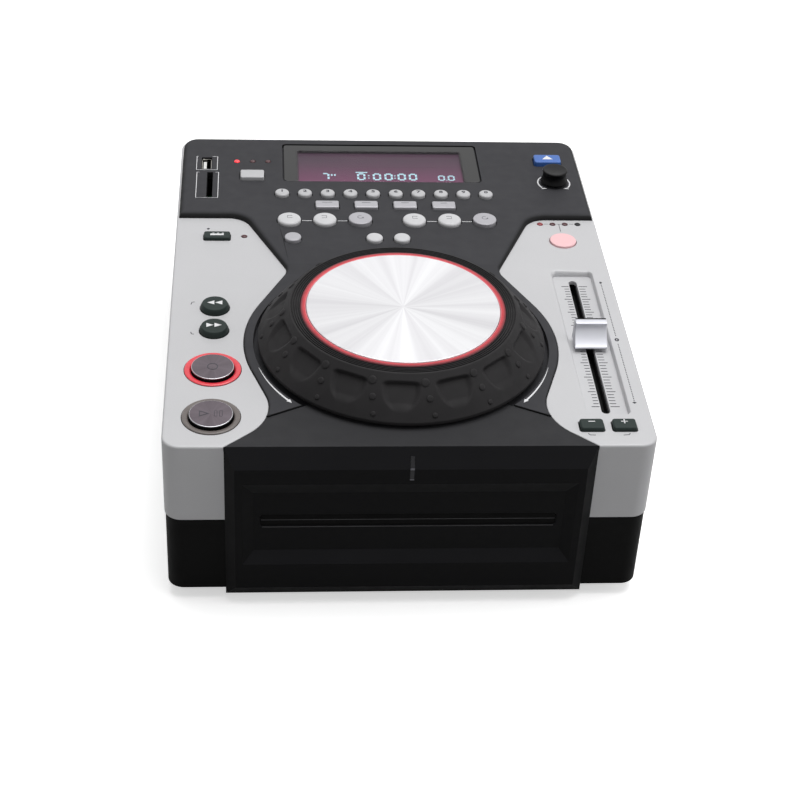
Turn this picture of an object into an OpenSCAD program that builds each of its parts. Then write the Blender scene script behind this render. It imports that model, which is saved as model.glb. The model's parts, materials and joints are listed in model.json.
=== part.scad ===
// Tabletop player with a slot disc loader, a jog wheel and a raised key deck.
// Origin: on the table under the middle of the machine. +X right, +Y back, +Z up.
// Depths are distances behind the front face of the case; fy() turns one into Y.

/* [Case] */
// Case width, side to side; the wheel and the case depth follow it
body_w = 218; // [196:1:240]
// Case underside above the table
case_z = 7; // [5:0.5:12]
// Seam between lower and upper case
seam_z = 47.6; // [40:0.1:56]
// Silver top above the table
top_z = 88.7; // [87.5:0.1:96]
// Corner radius in plan
corner_r = 8; // [4:0.5:14]
// Shell thickness
wall = 2.5; // [2:0.1:3.5]
// Gap along the case seams
seam_gap = 0.3; // [0.1:0.05:0.6]
// Foot radius
foot_r = 11; // [8:0.5:14]

/* [Deck] */
// Rise of the key deck over the silver top
deck_rise = 3; // [2:0.1:5]
// Depth of the key deck along the case sides
deck_d = 84; // [76:0.5:86]
// Depth of the deck behind the wheel surround
rows_d = 122.5; // [120:0.5:135]
// Inset of the deck from the case sides
deck_inset = 1; // [0.5:0.1:3]
// Width of the rounded deck edge
deck_edge = 2.2; // [1:0.1:3]
// Rise of the wheel surround over the silver top
lip_rise = 0.8; // [0.2:0.1:1.5]
// Sideways centre of the key field
key_cx = -0.6; // [-2:0.1:2]
// Display window width
window_w = 106.8; // [90:0.1:120]
// Display window depth, front to back
window_d = 41; // [30:0.5:44]
// Front edge of the display window to the case back
window_in = 49.5; // [48:0.5:52]

/* [Keys] */
// Travel of a key
key_travel = 0.8; // [0.4:0.1:1.5]
// Gap around a key
key_gap = 0.35; // [0.3:0.05:0.6]
// Width of the hidden flange round a key
key_flange = 1; // [0.8:0.1:1.5]
// Number key radius
number_r = 3.7; // [3:0.1:4.5]
// Number key spacing
number_pitch = 12; // [11:0.1:13]
// Function key width
function_w = 12.2; // [10:0.1:14]
// Function key depth
function_d = 6.8; // [5:0.1:8]
// Loop key radius
loop_r = 6.05; // [5:0.05:7]
// Small round key radius
small_r = 4.2; // [3.5:0.1:5]
// Cue and play disc radius
disc_key_r = 9.7; // [8:0.1:10.2]
// Cue and play light ring outer radius
light_ring_r = 13; // [12:0.1:14]

/* [Jog wheel] */
// Wheel surround to the front face
jog_in = 5.5; // [3:0.5:8]
// Width of the key columns beside the wheel surround
column_w = 35; // [34:0.5:42]
// Width of the wheel surround
lip_w = 4.8; // [2.5:0.1:5]
// Width of the sloping finger rim
slope_w = 14.3; // [13:0.1:18]
// Upper edge of the wheel over the silver top
jog_rise = 19.9; // [17:0.1:23]
// Gap between wheel and well
jog_gap = 1.9; // [1:0.1:3]
// Finger dimples round the wheel
dimples = 15; // [10:1:20]
// Width of the grooved ring round the platter
ridge_w = 5.2; // [5:0.1:7]
// Red ring width
ring_w = 2.5; // [1.5:0.1:4]
// Wheel shaft radius
shaft_r = 4; // [3:0.1:6]
// Radial running clearance of the shafts
run_gap = 0.05; // [0.02:0.01:0.1]

/* [Pitch slider] */
// Slider centre to the right side
fader_in = 19.2; // [17:0.5:21]
// Recess width
recess_w = 19.6; // [18:0.1:22]
// Recess depth
recess_h = 3; // [2:0.1:4]
// Slot width
slot_w = 3.9; // [3:0.1:5]
// Cap width
cap_w = 15.6; // [14:0.1:18]
// Cap depth, front to back
cap_d = 10.6; // [8:0.1:12]
// Cap height above the silver top
cap_h = 9.4; // [6:0.1:12]

/* [Disc loader] */
// Disc path above the table
disc_z = 48.3; // [46:0.1:50]
// Slot width
slot_len = 132.8; // [126:0.1:136]
// Slot height
slot_h = 6.8; // [5:0.1:8]
// Corner radius of the slot
slot_corner = 1.4; // [0.5:0.1:3]
// Front bezel width
fascia_w = 164; // [160:1:170]
// How far the bezel stands out of the case front
fascia_out = 4.2; // [3.5:0.1:8]
// Sled travel
sled_travel = 34; // [20:1:36]

/* [Rear] */
// How far the socket barrels stand out of the back
jack_out = 8.3; // [6:0.1:10]
// Socket barrel radius
jack_r = 4.15; // [4:0.05:4.5]

/* [Hidden] */
$fn = 32;
eps = 0.01;
side_x = body_w / 2;
lip_r = side_x - column_w;
well_r = lip_r - lip_w;
jog_r = well_r - jog_gap;
jog_top_r = jog_r - slope_w;
jog_y = lip_r + jog_in;
body_d = jog_y + lip_r + rows_d;
front_y = -(body_d + jack_out - fascia_out) / 2;
deck_z = top_z + deck_rise;
lip_z = top_z + lip_rise;
deck_base_z = top_z + 0.05;
panel_under = top_z - wall;
floor_z = case_z + wall;
lower_top = seam_z - seam_gap;
well_wall = 1.8;
well_floor_z = top_z - 4.7;
well_floor_t = 2.4;
fit_gap = 0.2;
// Plan outline of the black surround, left half
deck_front = body_d - deck_d;
corner_lobe_r = 12;
corner_lobe = [-(side_x - 26.4), deck_front - corner_lobe_r];
tip_lobe = [12.8 - lip_r, jog_y + lip_r - 12.5];
tip_lobe_r = 7.75;
tip_high = 24;
tip_low = -25.8;
front_edge_x = fascia_w / 2 + 0.3;
// The front strip runs on as a ledge over the well wall and under the wheel's rim
strip_t = 0.9;
strip_under = 3;
front_lobe = [-(side_x - 21), 29];
front_lobe_r = 25.5;
front_lobe_high = 18.45;
front_lobe_low = -49;
seam_out = [11.3 - lip_r, jog_y + 15.7 - lip_r];
seam_in = [31.4 - lip_r, jog_y + 26.1 - lip_r];
seam_slope = [30, 15.6];
seam_far = 150;
// Board level and switch levels
board_z = top_z - 12.7;
board_t = 1.6;
board_top = board_z + board_t;
switch_body = 3.5;
switch_z = board_top + 4.5;
stem_z = switch_z + key_travel + 0.2;
stem_r = 2;
flange_t = 1.2;
flange_gap = 0.05;
// Key rows on the deck, tied to the case back
number_y = body_d - 63.7;
function_y = body_d - 75.5;
loop_y = body_d - 90.7;
small_y = jog_y + lip_r + 13.8;
function_pitch = 20.4;
loop_pitch = (body_w - 35) / 10;
loop_first = 14;
loop_in = [for (i = [0 : 2]) loop_first + i * loop_pitch];
loop_x = concat([for (i = [2 : -1 : 0]) key_cx - loop_in[i]], [for (x = loop_in) key_cx + x]);
small_x = [24.4 - lip_r, key_cx - 7.5, key_cx + 6.5];
number_h = 1.7;
function_h = 1.5;
loop_h = 1.9;
small_h = 1.3;
window_front = body_d - window_in;
window_mid = window_front + window_d / 2;
window_left = key_cx - window_w / 2;
glass_t = 1.6;
source_pos = [window_left - 16.3, body_d - 44.7];
source_size = [12.6, 8.3];
source_h = 1.9;
eject_pos = [side_x - 18, body_d - 26.6];
eject_size = [14.6, 8.6];
eject_h = 2.6;
// Keys of the left column and under the slider
fader_x = side_x - fader_in;
mode_pos = [-(side_x - 21), deck_front - 18.4];
mode_size = [13.2, 6.4];
search_x = -(side_x - 21.2);
search_far = 108.4;
search_near = 89.2;
search_r = 6.8;
cue_pos = [search_x, 57.3];
play_pos = [search_x, 21.6];
disc_key_h = 2.4;
pitch_pos = [fader_x - 0.3, deck_front - 20.6];
pitch_r = 6.7;
pitch_h = 1;
minus_pos = [fader_x - 9.2, 14];
plus_pos = [fader_x + 5.5, 14];
nudge_size = [10.8, 7.2];
nudge_h = 1.4;
silver_key_h = 1.7;
// Selector
knob_pos = [side_x - 17.2, body_d - 49.4];
knob_r = 6.6;
knob_base_r = 7.8;
knob_h = 8.2;
knob_travel = 0.8;
plunger_r = 3;
plunger_low = board_top + 7;
// Sockets and lamps in the deck
usb_pos = [-(side_x - 14.2), body_d - 30.6];
usb_hole = [5.4, 12.4];
sd_pos = [-(side_x - 16.2), body_d - 54];
sd_hole = [3, 26.6];
lamp_r = 1.5;
lamp_rise = 0.4;
deck_lamp_y = body_d - 28.4;
deck_lamps = [for (x = [24.6, 16.1, 7.9]) [window_left - x, deck_lamp_y]];
left_lamp = [-(side_x - 34.8), deck_front - 17.5];
right_lamps = [for (x = [-10.1, -3.5, 3, 9.7]) [fader_x + x, deck_front - 3.6]];
marker_w = 2.6;
marker_low = top_z - 14.5;
marker_high = top_z - 5.3;
// Slider workings, between the -/+ keys and the pitch button
recess_front = 23.5;
recess_l = pitch_pos[1] - 29.3 - recess_front;
fader_y = recess_front + recess_l / 2;
cap_y = fader_y - 2;
fader_travel = (recess_l - cap_d - 6.4) / 2;
stem_l = 6;
slot_l = 2 * fader_travel + stem_l + 3;
// Screws, posts and feet
screw_x = side_x - 10;
screw_y = [16, 138, body_d - 14];
screw_pos = [for (y = screw_y) for (x = [-screw_x, screw_x]) [x, y]];
boss_r = 4;
screw_r = 1.5;
screw_head_h = 2.4;
foot_x = side_x - 21;
foot_pos = [for (y = [26, body_d - 30]) for (x = [-foot_x, foot_x]) [x, y]];
foot_pin_r = 3;
post_x = side_x - 6;
post_pos = concat(
  [for (y = [38.5, 150]) for (x = [-post_x, post_x]) [x, y]],
  [for (x = [-post_x + 1, post_x - 1]) [x, body_d - 9]]);
post_r = 2.4;
// Wheel section
jog_z = top_z + jog_rise;
rim_foot_z = top_z + 1.7;
rim_step = 1.6;
rim_skin = 4;
web_z = jog_z - 5.5;
web_t = 2.5;
web_hole_r = shaft_r + 2.2;
ring_out_r = jog_top_r - ridge_w;
platter_r = ring_out_r - ring_w - 0.3;
groove_n = 4;
groove_w = 0.5;
groove_h = 0.5;
groove_pitch = 1.05;
dimple_r = 13;
dimple_at = jog_r + 0.5;
dimple_turn = -94.2;
bearing_r = shaft_r + 5;
bearing_low = well_floor_z - 12;
bearing_high = well_floor_z + 13;
encoder_z = bearing_low - 6;
encoder_r = 26;
// Front bezel
fascia_low = case_z - 3.2;
chamfer_side = 4.5;
chamfer_top = 9.7;
chamfer_low = 6.8;
plug_x = fascia_w / 2 - 4.6;
plug_low = floor_z + 2.5;
frame_w = fascia_w - 15.4;
frame_low = case_z + 17.6;
frame_high = top_z - 17.8;
frame_in = 5;
frame_step = 6.6;
frame_h = 2.5;
fascia_back = 3;
far = 400;
// Loader
loader_w = 142;
loader_front = 8;
loader_low = disc_z - 15.3;
loader_high = disc_z + 12.7;
loader_t = 1.5;
path_low = disc_z - 2.2;
hub_y = 80;
roller_r = 4;
roller_y = 20;
roller_z = path_low - 5;
pin_r = 2;
hub_r = 14;
motor_r = 11;
sled_y = 96.5;
sled_w = 26;
sled_l = 14;
sled_low = path_low - 9;
loader_back = sled_y + sled_l + sled_travel + 5.5;
lens_r_in = 24;
// Rear parts
rear_in = body_d - 0.5 - wall;
inlet_x = -(side_x - 29);
inlet_z = floor_z + 17.5;
inlet_half = [13.5, 10];
rocker_x = inlet_x + 28;
rocker_half = [7, 10];
rocker_size = [11, 17];
rocker_tilt = 8;
rocker_pin_r = 1.2;
rocker_pin_d = body_d - 3;
bezel_edge = 2;
vents = [-20, -14, -8, -2];
jack_x = [side_x - 87, side_x - 71, side_x - 51];
jack_z = inlet_z;
mini_x = side_x - 31;
mini_r = 1.8;
mini_nut_r = 3.6;
// Main board and power supply
pcb_low = floor_z + 4.5;
pcb_x0 = -25;
pcb_x1 = side_x - 16;
pcb_d0 = body_d - 111;
pcb_d1 = body_d - 8;
// Chips: left, front, width, depth and height, from the front left corner of the board
chips = [[45, 20, 24, 24, 2], [85, 15, 14, 14, 1.6], [10, 15, 20, 6, 7]];
capacitor_x = [13, 25, 37];
capacitor_d = 70;
capacitor_r = 4.5;
capacitor_h = 12;
psu_x0 = -(side_x - 9);
psu_x1 = psu_x0 + 62;
psu_d0 = body_d - 104;
psu_d1 = body_d - 18;
psu_top = floor_z + 31.5;
psu_t = 1.5;

case_col = [0.07, 0.07, 0.075];
silver_col = [0.8, 0.8, 0.82];
deck_col = [0.2, 0.2, 0.21];
key_col = [0.86, 0.86, 0.87];
dark_col = [0.17, 0.21, 0.2];
metal_col = [0.5, 0.48, 0.5];
board_col = [0.1, 0.3, 0.16];
steel_col = [0.62, 0.63, 0.65];
red_col = [0.9, 0.25, 0.3];

function fy(d) = front_y + d;
function polar(a) = [cos(a), sin(a)];
function arc(c, r, a0, a1, n) = [for (i = [0 : n]) c + r * polar(a0 + (a1 - a0) * i / n)];
function mirrored(pts) = [for (i = [len(pts) - 1 : -1 : 0]) [-pts[i][0], pts[i][1]]];
function number_x(i) = key_cx + number_pitch * (i - 4.5);
function function_x(i) = key_cx + function_pitch * (i - 1.5);

// Left edge of the surround from the tip lobe to the front; g pulls it away from the silver
function lower_path(g) = concat(
  arc(tip_lobe, tip_lobe_r + g, 0, tip_low, 4),
  arc([0, jog_y], lip_r - g, 154.2, 198.45, 16),
  arc(front_lobe, front_lobe_r + g, front_lobe_high, front_lobe_low, 12),
  [[-front_edge_x + g, 0]]);
function deck_path(g) = concat(
  [[-side_x + deck_inset + g, body_d - deck_inset - corner_r]],
  [[-side_x + deck_inset + g, deck_front + g]],
  arc(corner_lobe, corner_lobe_r + g, 90, tip_high, 8),
  arc(tip_lobe, tip_lobe_r + g, tip_high, tip_low, 8));

module rrect(w, d, r) {
  square([w - 2 * r, d], center = true);
  square([w, d - 2 * r], center = true);
  for (sx = [-1, 1], sy = [-1, 1]) {
    translate([sx * (w / 2 - r), sy * (d / 2 - r)]) circle(r = r);
  }
}

module slab(x0, x1, d0, d1, z0, z1) {
  translate([x0, fy(d0), z0]) cube([x1 - x0, d1 - d0, z1 - z0]);
}

module rod(x, d, r, z0, z1) {
  translate([x, fy(d), z0]) cylinder(h = z1 - z0, r = r);
}

module case_block(w, d, r, z0, z1) {
  translate([0, fy(body_d / 2), z0]) linear_extrude(z1 - z0) rrect(w, d, r);
}

// Keys -----------------------------------------------------------------
module round_key(x, d, r, face_z, under_z, h) {
  rod(x, d, r, under_z - flange_gap - flange_t, face_z + h);
  rod(x, d, r + key_flange, under_z - flange_gap - flange_t, under_z - flange_gap);
  rod(x, d, stem_r, stem_z, under_z - flange_gap - flange_t + eps);
}

module rect_key(p, s, face_z, under_z, h) {
  low = under_z - flange_gap - flange_t;
  translate([p[0], fy(p[1]), low]) {
    linear_extrude(face_z + h - low) rrect(s[0], s[1], 1);
    linear_extrude(flange_t) rrect(s[0] + 2 * key_flange, s[1] + 2 * key_flange, 1);
  }
  rod(p[0], p[1], stem_r, stem_z, low + eps);
}

module rect_hole(p, s, z0, z1) {
  translate([p[0], fy(p[1]), z0]) linear_extrude(z1 - z0)
    rrect(s[0] + 2 * key_gap, s[1] + 2 * key_gap, 1 + key_gap);
}

module deck_key(x, d, r, h) {
  color(key_col) round_key(x, d, r, deck_z, deck_base_z, h);
}

module small_key(i) {
  deck_key(small_x[i], small_y, small_r, small_h);
}

module number_key(i) {
  deck_key(number_x(i), number_y, number_r, number_h);
}

module function_key(i) {
  color(key_col)
    rect_key([function_x(i), function_y], [function_w, function_d], deck_z, deck_base_z, function_h);
}

module loop_key(i) {
  deck_key(loop_x[i], loop_y, loop_r, loop_h);
}

module deck_key_holes() {
  z0 = well_floor_z;
  z1 = deck_z + 1;
  for (i = [0 : 9]) rod(number_x(i), number_y, number_r + key_gap, z0, z1);
  for (i = [0 : 3]) rect_hole([function_x(i), function_y], [function_w, function_d], z0, z1);
  for (x = loop_x) rod(x, loop_y, loop_r + key_gap, z0, z1);
  for (x = small_x) rod(x, small_y, small_r + key_gap, z0, z1);
  rect_hole(source_pos, source_size, z0, z1);
  rect_hole(eject_pos, eject_size, z0, z1);
}

module silver_key_holes() {
  z0 = panel_under - 1;
  z1 = top_z + 1;
  rect_hole(mode_pos, mode_size, z0, z1);
  for (y = [search_far, search_near]) rod(search_x, y, search_r + key_gap, z0, z1);
  for (p = [cue_pos, play_pos]) rod(p[0], p[1], light_ring_r - 0.6, z0, z1);
  rod(pitch_pos[0], pitch_pos[1], pitch_r + key_gap, z0, z1);
  for (p = [minus_pos, plus_pos]) rect_hole(p, nudge_size, z0, z1);
}

// Case -----------------------------------------------------------------
module rear_hole(x, half, g) {
  slab(x - half[0] - g, x + half[0] + g, body_d - 4, body_d + 1,
    inlet_z - half[1] - g, inlet_z + half[1] + g);
}

module rear_bore(x, r) {
  translate([x, fy(body_d - 4), jack_z]) rotate([-90, 0, 0]) cylinder(h = 6, r = r);
}

module bottom_case() {
  color(case_col) difference() {
    union() {
      difference() {
        case_block(body_w - 1, body_d - 1, corner_r - 0.5, case_z, lower_top);
        case_block(body_w - 1 - 2 * wall, body_d - 1 - 2 * wall, corner_r - wall, floor_z, lower_top + 1);
      }
      for (p = screw_pos) rod(p[0], p[1], boss_r, floor_z - eps, lower_top);
      for (x = [pcb_x0 + 5, pcb_x1 - 5], d = [pcb_d0 + 10, pcb_d1 - 6]) rod(x, d, 3, floor_z - eps, pcb_low);
      for (x = [-loader_w / 2 + 11, loader_w / 2 - 11], d = [30, 130]) rod(x, d, 4, floor_z - eps, loader_low);
    }
    slab(-plug_x - 0.3, plug_x + 0.3, -1, fascia_back + 0.5, plug_low, lower_top + 1);
    for (p = screw_pos) rod(p[0], p[1], screw_r, case_z - 1, lower_top + 1);
    for (p = screw_pos) rod(p[0], p[1], 3.2, case_z - 1, case_z + screw_head_h);
    for (p = foot_pos) rod(p[0], p[1], foot_pin_r + fit_gap, case_z - 1, floor_z + 1);
    for (x = jack_x) rear_bore(x, jack_r + 1);
    rear_bore(mini_x, mini_nut_r + 0.4);
    rear_hole(inlet_x, inlet_half, 0.4);
    rear_hole(rocker_x, rocker_half, 0.4);
    for (x = vents) slab(x - 1.2, x + 1.2, body_d - 4, body_d + 1, floor_z + 6.5, lower_top - 9.3);
  }
}

module surround_cut(g) {
  path = lower_path(g);
  front = [[-front_edge_x + g, -1], [front_edge_x - g, -1]];
  translate([0, front_y, 0]) polygon(concat(path, front, mirrored(path)));
}

module deck_window_cut() {
  left = [
    [-side_x + 7.5, body_d - 13],
    [-side_x + 7.5, deck_front + 7],
    [-side_x + 29, deck_front + 5],
    [-side_x + 41, deck_front - 4],
    tip_lobe + [9.7, 9],
    tip_lobe + [11.2, 0],
    tip_lobe + [11.2, -11]];
  translate([0, front_y, 0]) polygon(concat(left, mirrored(left)));
}

module side_rib(p) {
  wall_x = sign(p[0]) * (side_x - 2);
  slab(min(p[0], wall_x), max(p[0], wall_x), p[1] - 1, p[1] + 1, seam_z, board_z - 2);
}

module recess_block() {
  hw = recess_w / 2 + 2;
  hl = recess_l / 2 + 2.1;
  slab(fader_x - hw, fader_x + hw, fader_y - hl, fader_y + hl, top_z - recess_h - 2, panel_under + eps);
}

module top_case() {
  color(silver_col) difference() {
    union() {
      difference() {
        case_block(body_w, body_d, corner_r, seam_z, top_z);
        case_block(body_w - 2 * wall, body_d - 2 * wall, corner_r - wall, seam_z - 1, panel_under);
      }
      recess_block();
      for (p = post_pos) rod(p[0], p[1], post_r, board_top, panel_under + eps);
      for (p = screw_pos) rod(p[0], p[1], boss_r, seam_z, board_z - 2);
      for (p = screw_pos) side_rib(p);
    }
    translate([0, 0, board_z]) linear_extrude(well_r) surround_cut(0);
    translate([0, 0, board_z]) linear_extrude(well_r) deck_window_cut();
    slab(-plug_x - 0.3, plug_x + 0.3, -1, fascia_back + 0.5, seam_z - 1, top_z - 4);
    slab(-front_edge_x, front_edge_x, -1, 0.2, board_z, top_z + 1);
    for (p = screw_pos) rod(p[0], p[1], screw_r - 0.3, seam_z - 1, seam_z + 16);
    silver_key_holes();
    for (p = concat([left_lamp], right_lamps)) rod(p[0], p[1], lamp_r + 0.1, panel_under - 1, top_z + 1);
    translate([fader_x, fy(fader_y), top_z - recess_h]) linear_extrude(recess_h + 1)
      rrect(recess_w, recess_l, 2);
    translate([fader_x, fy(fader_y), top_z - 2 * recess_h]) linear_extrude(recess_h + 1)
      rrect(slot_w, slot_l, slot_w / 2 - eps);
  }
}

module deck_layer(g, z0, z1) {
  path = deck_path(g);
  translate([0, front_y, z0]) linear_extrude(z1 - z0) union() {
    polygon(concat(path, mirrored(path)));
    translate([0, body_d - deck_inset - g - corner_r])
      rrect(body_w - 2 * (deck_inset + g), 2 * corner_r, corner_r - g);
  }
}

module seam_side(g) {
  slope = [-seam_slope[0], -seam_slope[1] + g];
  left = [[-seam_far, body_d], seam_out + slope, seam_in + [0, g], [0, jog_y - 19.5]];
  translate([0, front_y]) polygon(concat(left, mirrored(left)));
}

module deck_hole(p, s) {
  translate([p[0], fy(p[1]), panel_under]) linear_extrude(wall + deck_rise + 1) square(s, center = true);
}

module console_panel() {
  color(deck_col) difference() {
    union() {
      deck_layer(0, deck_base_z, deck_z - deck_edge + 0.8);
      deck_layer(deck_edge * 0.25, deck_base_z, deck_z - 0.7);
      deck_layer(deck_edge * 0.55, deck_base_z, deck_z - 0.25);
      deck_layer(deck_edge, deck_base_z, deck_z);
      translate([0, 0, panel_under]) linear_extrude(lip_z - panel_under) intersection() {
        surround_cut(fit_gap);
        seam_side(fit_gap);
      }
      rod(0, jog_y, well_r + well_wall, well_floor_z, top_z - strip_t - 0.1, $fn = 96);
    }
    rod(0, jog_y, well_r, well_floor_z + well_floor_t, deck_z + 1, $fn = 96);
    rod(0, jog_y, bearing_r + 0.1, well_floor_z - 1, deck_z);
    deck_key_holes();
    translate([key_cx, fy(window_mid), panel_under]) linear_extrude(wall + deck_rise)
      rrect(window_w - 4, window_d - 4, 1.5);
    translate([key_cx, fy(window_mid), deck_z - glass_t - fit_gap]) linear_extrude(glass_t + 1)
      rrect(window_w, window_d, 2.2);
    deck_hole(usb_pos, usb_hole);
    deck_hole(sd_pos, sd_hole);
    for (p = deck_lamps) rod(p[0], p[1], lamp_r + 0.1, deck_base_z - 1, deck_z + 1);
    rod(knob_pos[0], knob_pos[1], plunger_r + 0.9, deck_base_z - 1, deck_z + 1);
  }
}

// Front bezel ----------------------------------------------------------
module side_profile(z0, z1, y0, y1, low, high) {
  rotate([90, 0, 90]) linear_extrude(far, center = true)
    polygon([[y0, z0], [y0, z1], [y1, z1 - high], [y1, z0 + low]]);
}

module plan_profile(w, y0, y1, side) {
  linear_extrude(far) polygon([[-w / 2, y0], [w / 2, y0], [w / 2 - side, y1], [-w / 2 + side, y1]]);
}

module fascia_frame_cut() {
  y0 = front_y - fascia_out - 1;
  y1 = front_y - fascia_out + frame_h;
  grow_x = frame_in / frame_h;
  grow_z = frame_step / frame_h;
  intersection() {
    side_profile(frame_low - grow_z, frame_high + grow_z, y0, y1, frame_step + grow_z, frame_step + grow_z);
    plan_profile(frame_w + 2 * grow_x, y0, y1, frame_in + grow_x);
  }
}

module front_fascia() {
  color(case_col) difference() {
    union() {
      intersection() {
        side_profile(fascia_low, top_z, front_y, front_y - fascia_out, chamfer_low, chamfer_top);
        plan_profile(fascia_w, front_y, front_y - fascia_out, chamfer_side);
      }
      slab(-plug_x, plug_x, -eps, fascia_back, plug_low + 0.3, top_z - 4.3);
      translate([0, 0, panel_under]) linear_extrude(wall) difference() {
        surround_cut(fit_gap);
        seam_side(0);
        translate([-far / 2, front_y - 20]) square([far, 20 - eps]);
      }
      slab(-plug_x, plug_x, -eps, 1.5, top_z - 5, top_z - 2);
    }
    rod(0, jog_y, well_r + well_wall + fit_gap, panel_under - 1, top_z - strip_t, $fn = 96);
    rod(0, jog_y, jog_r - strip_under, panel_under - 1, top_z + 1, $fn = 96);
    fascia_frame_cut();
    slab(-plug_x + 3, plug_x - 3, 0.5, fascia_back + 1, plug_low + 3, top_z - 6.5);
    translate([0, fy(-3), disc_z]) rotate([-90, 0, 0]) linear_extrude(6)
      rrect(slot_len, slot_h, slot_corner);
    slab(-marker_w / 2 - 0.1, marker_w / 2 + 0.1, -6, 0.8, marker_low - 0.2, marker_high + 0.2);
  }
}

// Display --------------------------------------------------------------
module display_window() {
  color([0.2, 0.16, 0.19, 0.5]) translate([key_cx, fy(window_mid), deck_z - glass_t - fit_gap])
    linear_extrude(glass_t) rrect(window_w - 2 * fit_gap, window_d - 2 * fit_gap, 2);
}

module display_module() {
  hw = window_w / 2 - 3.4;
  front = window_front + 2.5;
  back = window_front + window_d - 5.5;
  color(steel_col) {
    slab(key_cx - hw, key_cx + hw, front, back, board_top, top_z - 0.1);
    slab(key_cx - hw + 4, key_cx + hw - 6, front + 1, back - 2, top_z - 0.2, top_z + 0.9);
  }
}

// Jog wheel ------------------------------------------------------------
module jog_rim() {
  foot_top = rim_foot_z + rim_step;
  groove_x = [for (i = [0 : groove_n - 1]) jog_top_r - 0.9 - i * groove_pitch];
  low_z = jog_z - groove_h;
  grooves = [for (x = groove_x) each [[x, jog_z], [x, low_z], [x - groove_w, low_z], [x - groove_w, jog_z]]];
  color(deck_col) difference() {
    translate([0, fy(jog_y), 0]) rotate_extrude($fn = 96) polygon(concat(
      [[web_hole_r, web_z], [jog_top_r - 0.7, web_z], [jog_r - rim_skin, rim_foot_z], [jog_r, rim_foot_z]],
      [[jog_r, foot_top], [jog_top_r + 0.2, jog_z - 0.4], [jog_top_r - 0.2, jog_z]],
      grooves,
      [[ring_out_r + 0.1, jog_z], [ring_out_r + 0.1, web_z + web_t], [web_hole_r, web_z + web_t]]));
    for (i = [0 : dimples - 1]) {
      translate([0, fy(jog_y), 0]) rotate([0, 0, dimple_turn + i * 360 / dimples])
        translate([dimple_at, 0, jog_z - 0.2]) sphere(r = dimple_r);
    }
  }
}

module jog_ring() {
  color(red_col) translate([0, fy(jog_y), web_z + web_t]) rotate_extrude($fn = 96)
    translate([platter_r + 0.2, 0]) square([ring_w + 0.1, jog_z - web_z - web_t + 0.2]);
}

module jog_platter() {
  color([0.93, 0.93, 0.94]) rod(0, jog_y, platter_r, web_z + web_t, jog_z + 0.4, $fn = 96);
}

module jog_hub() {
  color(steel_col) {
    rod(0, jog_y, shaft_r, encoder_z - 3, web_z);
    rod(0, jog_y, shaft_r + 10, web_z - 2.5, web_z);
    rod(0, jog_y, web_hole_r - 0.1, web_z - eps, web_z + web_t - 0.1);
    rod(0, jog_y, shaft_r + 4, encoder_z - 1.5, encoder_z + 1.5);
    rod(0, jog_y, encoder_r, encoder_z - 0.5, encoder_z + 0.5, $fn = 64);
  }
}

module jog_bearing() {
  color(steel_col) difference() {
    union() {
      rod(0, jog_y, bearing_r, bearing_low, bearing_high);
      rod(0, jog_y, bearing_r + 7, well_floor_z + well_floor_t, well_floor_z + 2 * well_floor_t);
      rod(0, jog_y, bearing_r + 3, bearing_low - 2, bearing_low + 2);
    }
    rod(0, jog_y, shaft_r + run_gap, bearing_low - 3, bearing_high + 1);
  }
}

// Selector -------------------------------------------------------------
module select_knob() {
  low = deck_z + knob_travel + 0.4;
  color(case_col) difference() {
    translate([knob_pos[0], fy(knob_pos[1]), low]) rotate_extrude($fn = 48) polygon([
      [0, 0], [knob_base_r, 0], [knob_base_r, 0.8], [knob_r + 0.5, 2.4], [knob_r, 4],
      [knob_r - 0.1, knob_h - 1.6], [knob_r - 0.9, knob_h - 1.2], [0, knob_h - 1.2]]);
    rod(knob_pos[0], knob_pos[1], plunger_r + run_gap, low - 1, low + 4.2);
  }
}

module knob_plunger() {
  color(steel_col) {
    rod(knob_pos[0], knob_pos[1], plunger_r, plunger_low, deck_z + 5.2);
    rod(knob_pos[0], knob_pos[1], plunger_r + 1.6, plunger_low, plunger_low + 1.6);
  }
}

// Pitch slider ---------------------------------------------------------
module fader_cap() {
  low = top_z - recess_h + 0.6;
  high = top_z + cap_h;
  back = fy(cap_y) + cap_d / 2;
  face = back - cap_d;
  hollow_r = 11.2;
  color(key_col) {
    difference() {
      translate([fader_x - cap_w / 2, 0, 0]) rotate([90, 0, 90]) linear_extrude(cap_w) polygon([
        [face, low], [back, low], [back - 0.4, high - 0.3], [back - 0.9, high],
        [back - cap_d / 2, high + 0.3], [face + 0.2, top_z - 0.4]]);
      translate([fader_x, face - 8.6, high + 0.2]) rotate([0, 90, 0])
        cylinder(h = cap_w - 1.6, r = hollow_r, center = true, $fn = 64);
    }
    slab(fader_x - 1, fader_x + 1, cap_y - stem_l / 2, cap_y + stem_l / 2, board_top + 2.4, low + 1);
  }
}

module fader_track() {
  outer = slot_l / 2 + 5.5;
  inner = slot_l / 2 + 1;
  color(steel_col) difference() {
    slab(fader_x - 4.5, fader_x + 4.5, fader_y - outer, fader_y + outer, board_top, board_top + 5.8);
    slab(fader_x - 1.5, fader_x + 1.5, fader_y - inner, fader_y + inner, board_top + 1.2, board_top + 6);
  }
}

// Light pipes ----------------------------------------------------------
module light_ring(p) {
  difference() {
    union() {
      rod(p[0], p[1], light_ring_r, top_z, top_z + 0.6, $fn = 64);
      rod(p[0], p[1], light_ring_r - 0.8, panel_under, top_z + eps, $fn = 64);
    }
    rod(p[0], p[1], disc_key_r + key_gap, panel_under - 1, top_z + 2, $fn = 64);
  }
}

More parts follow.
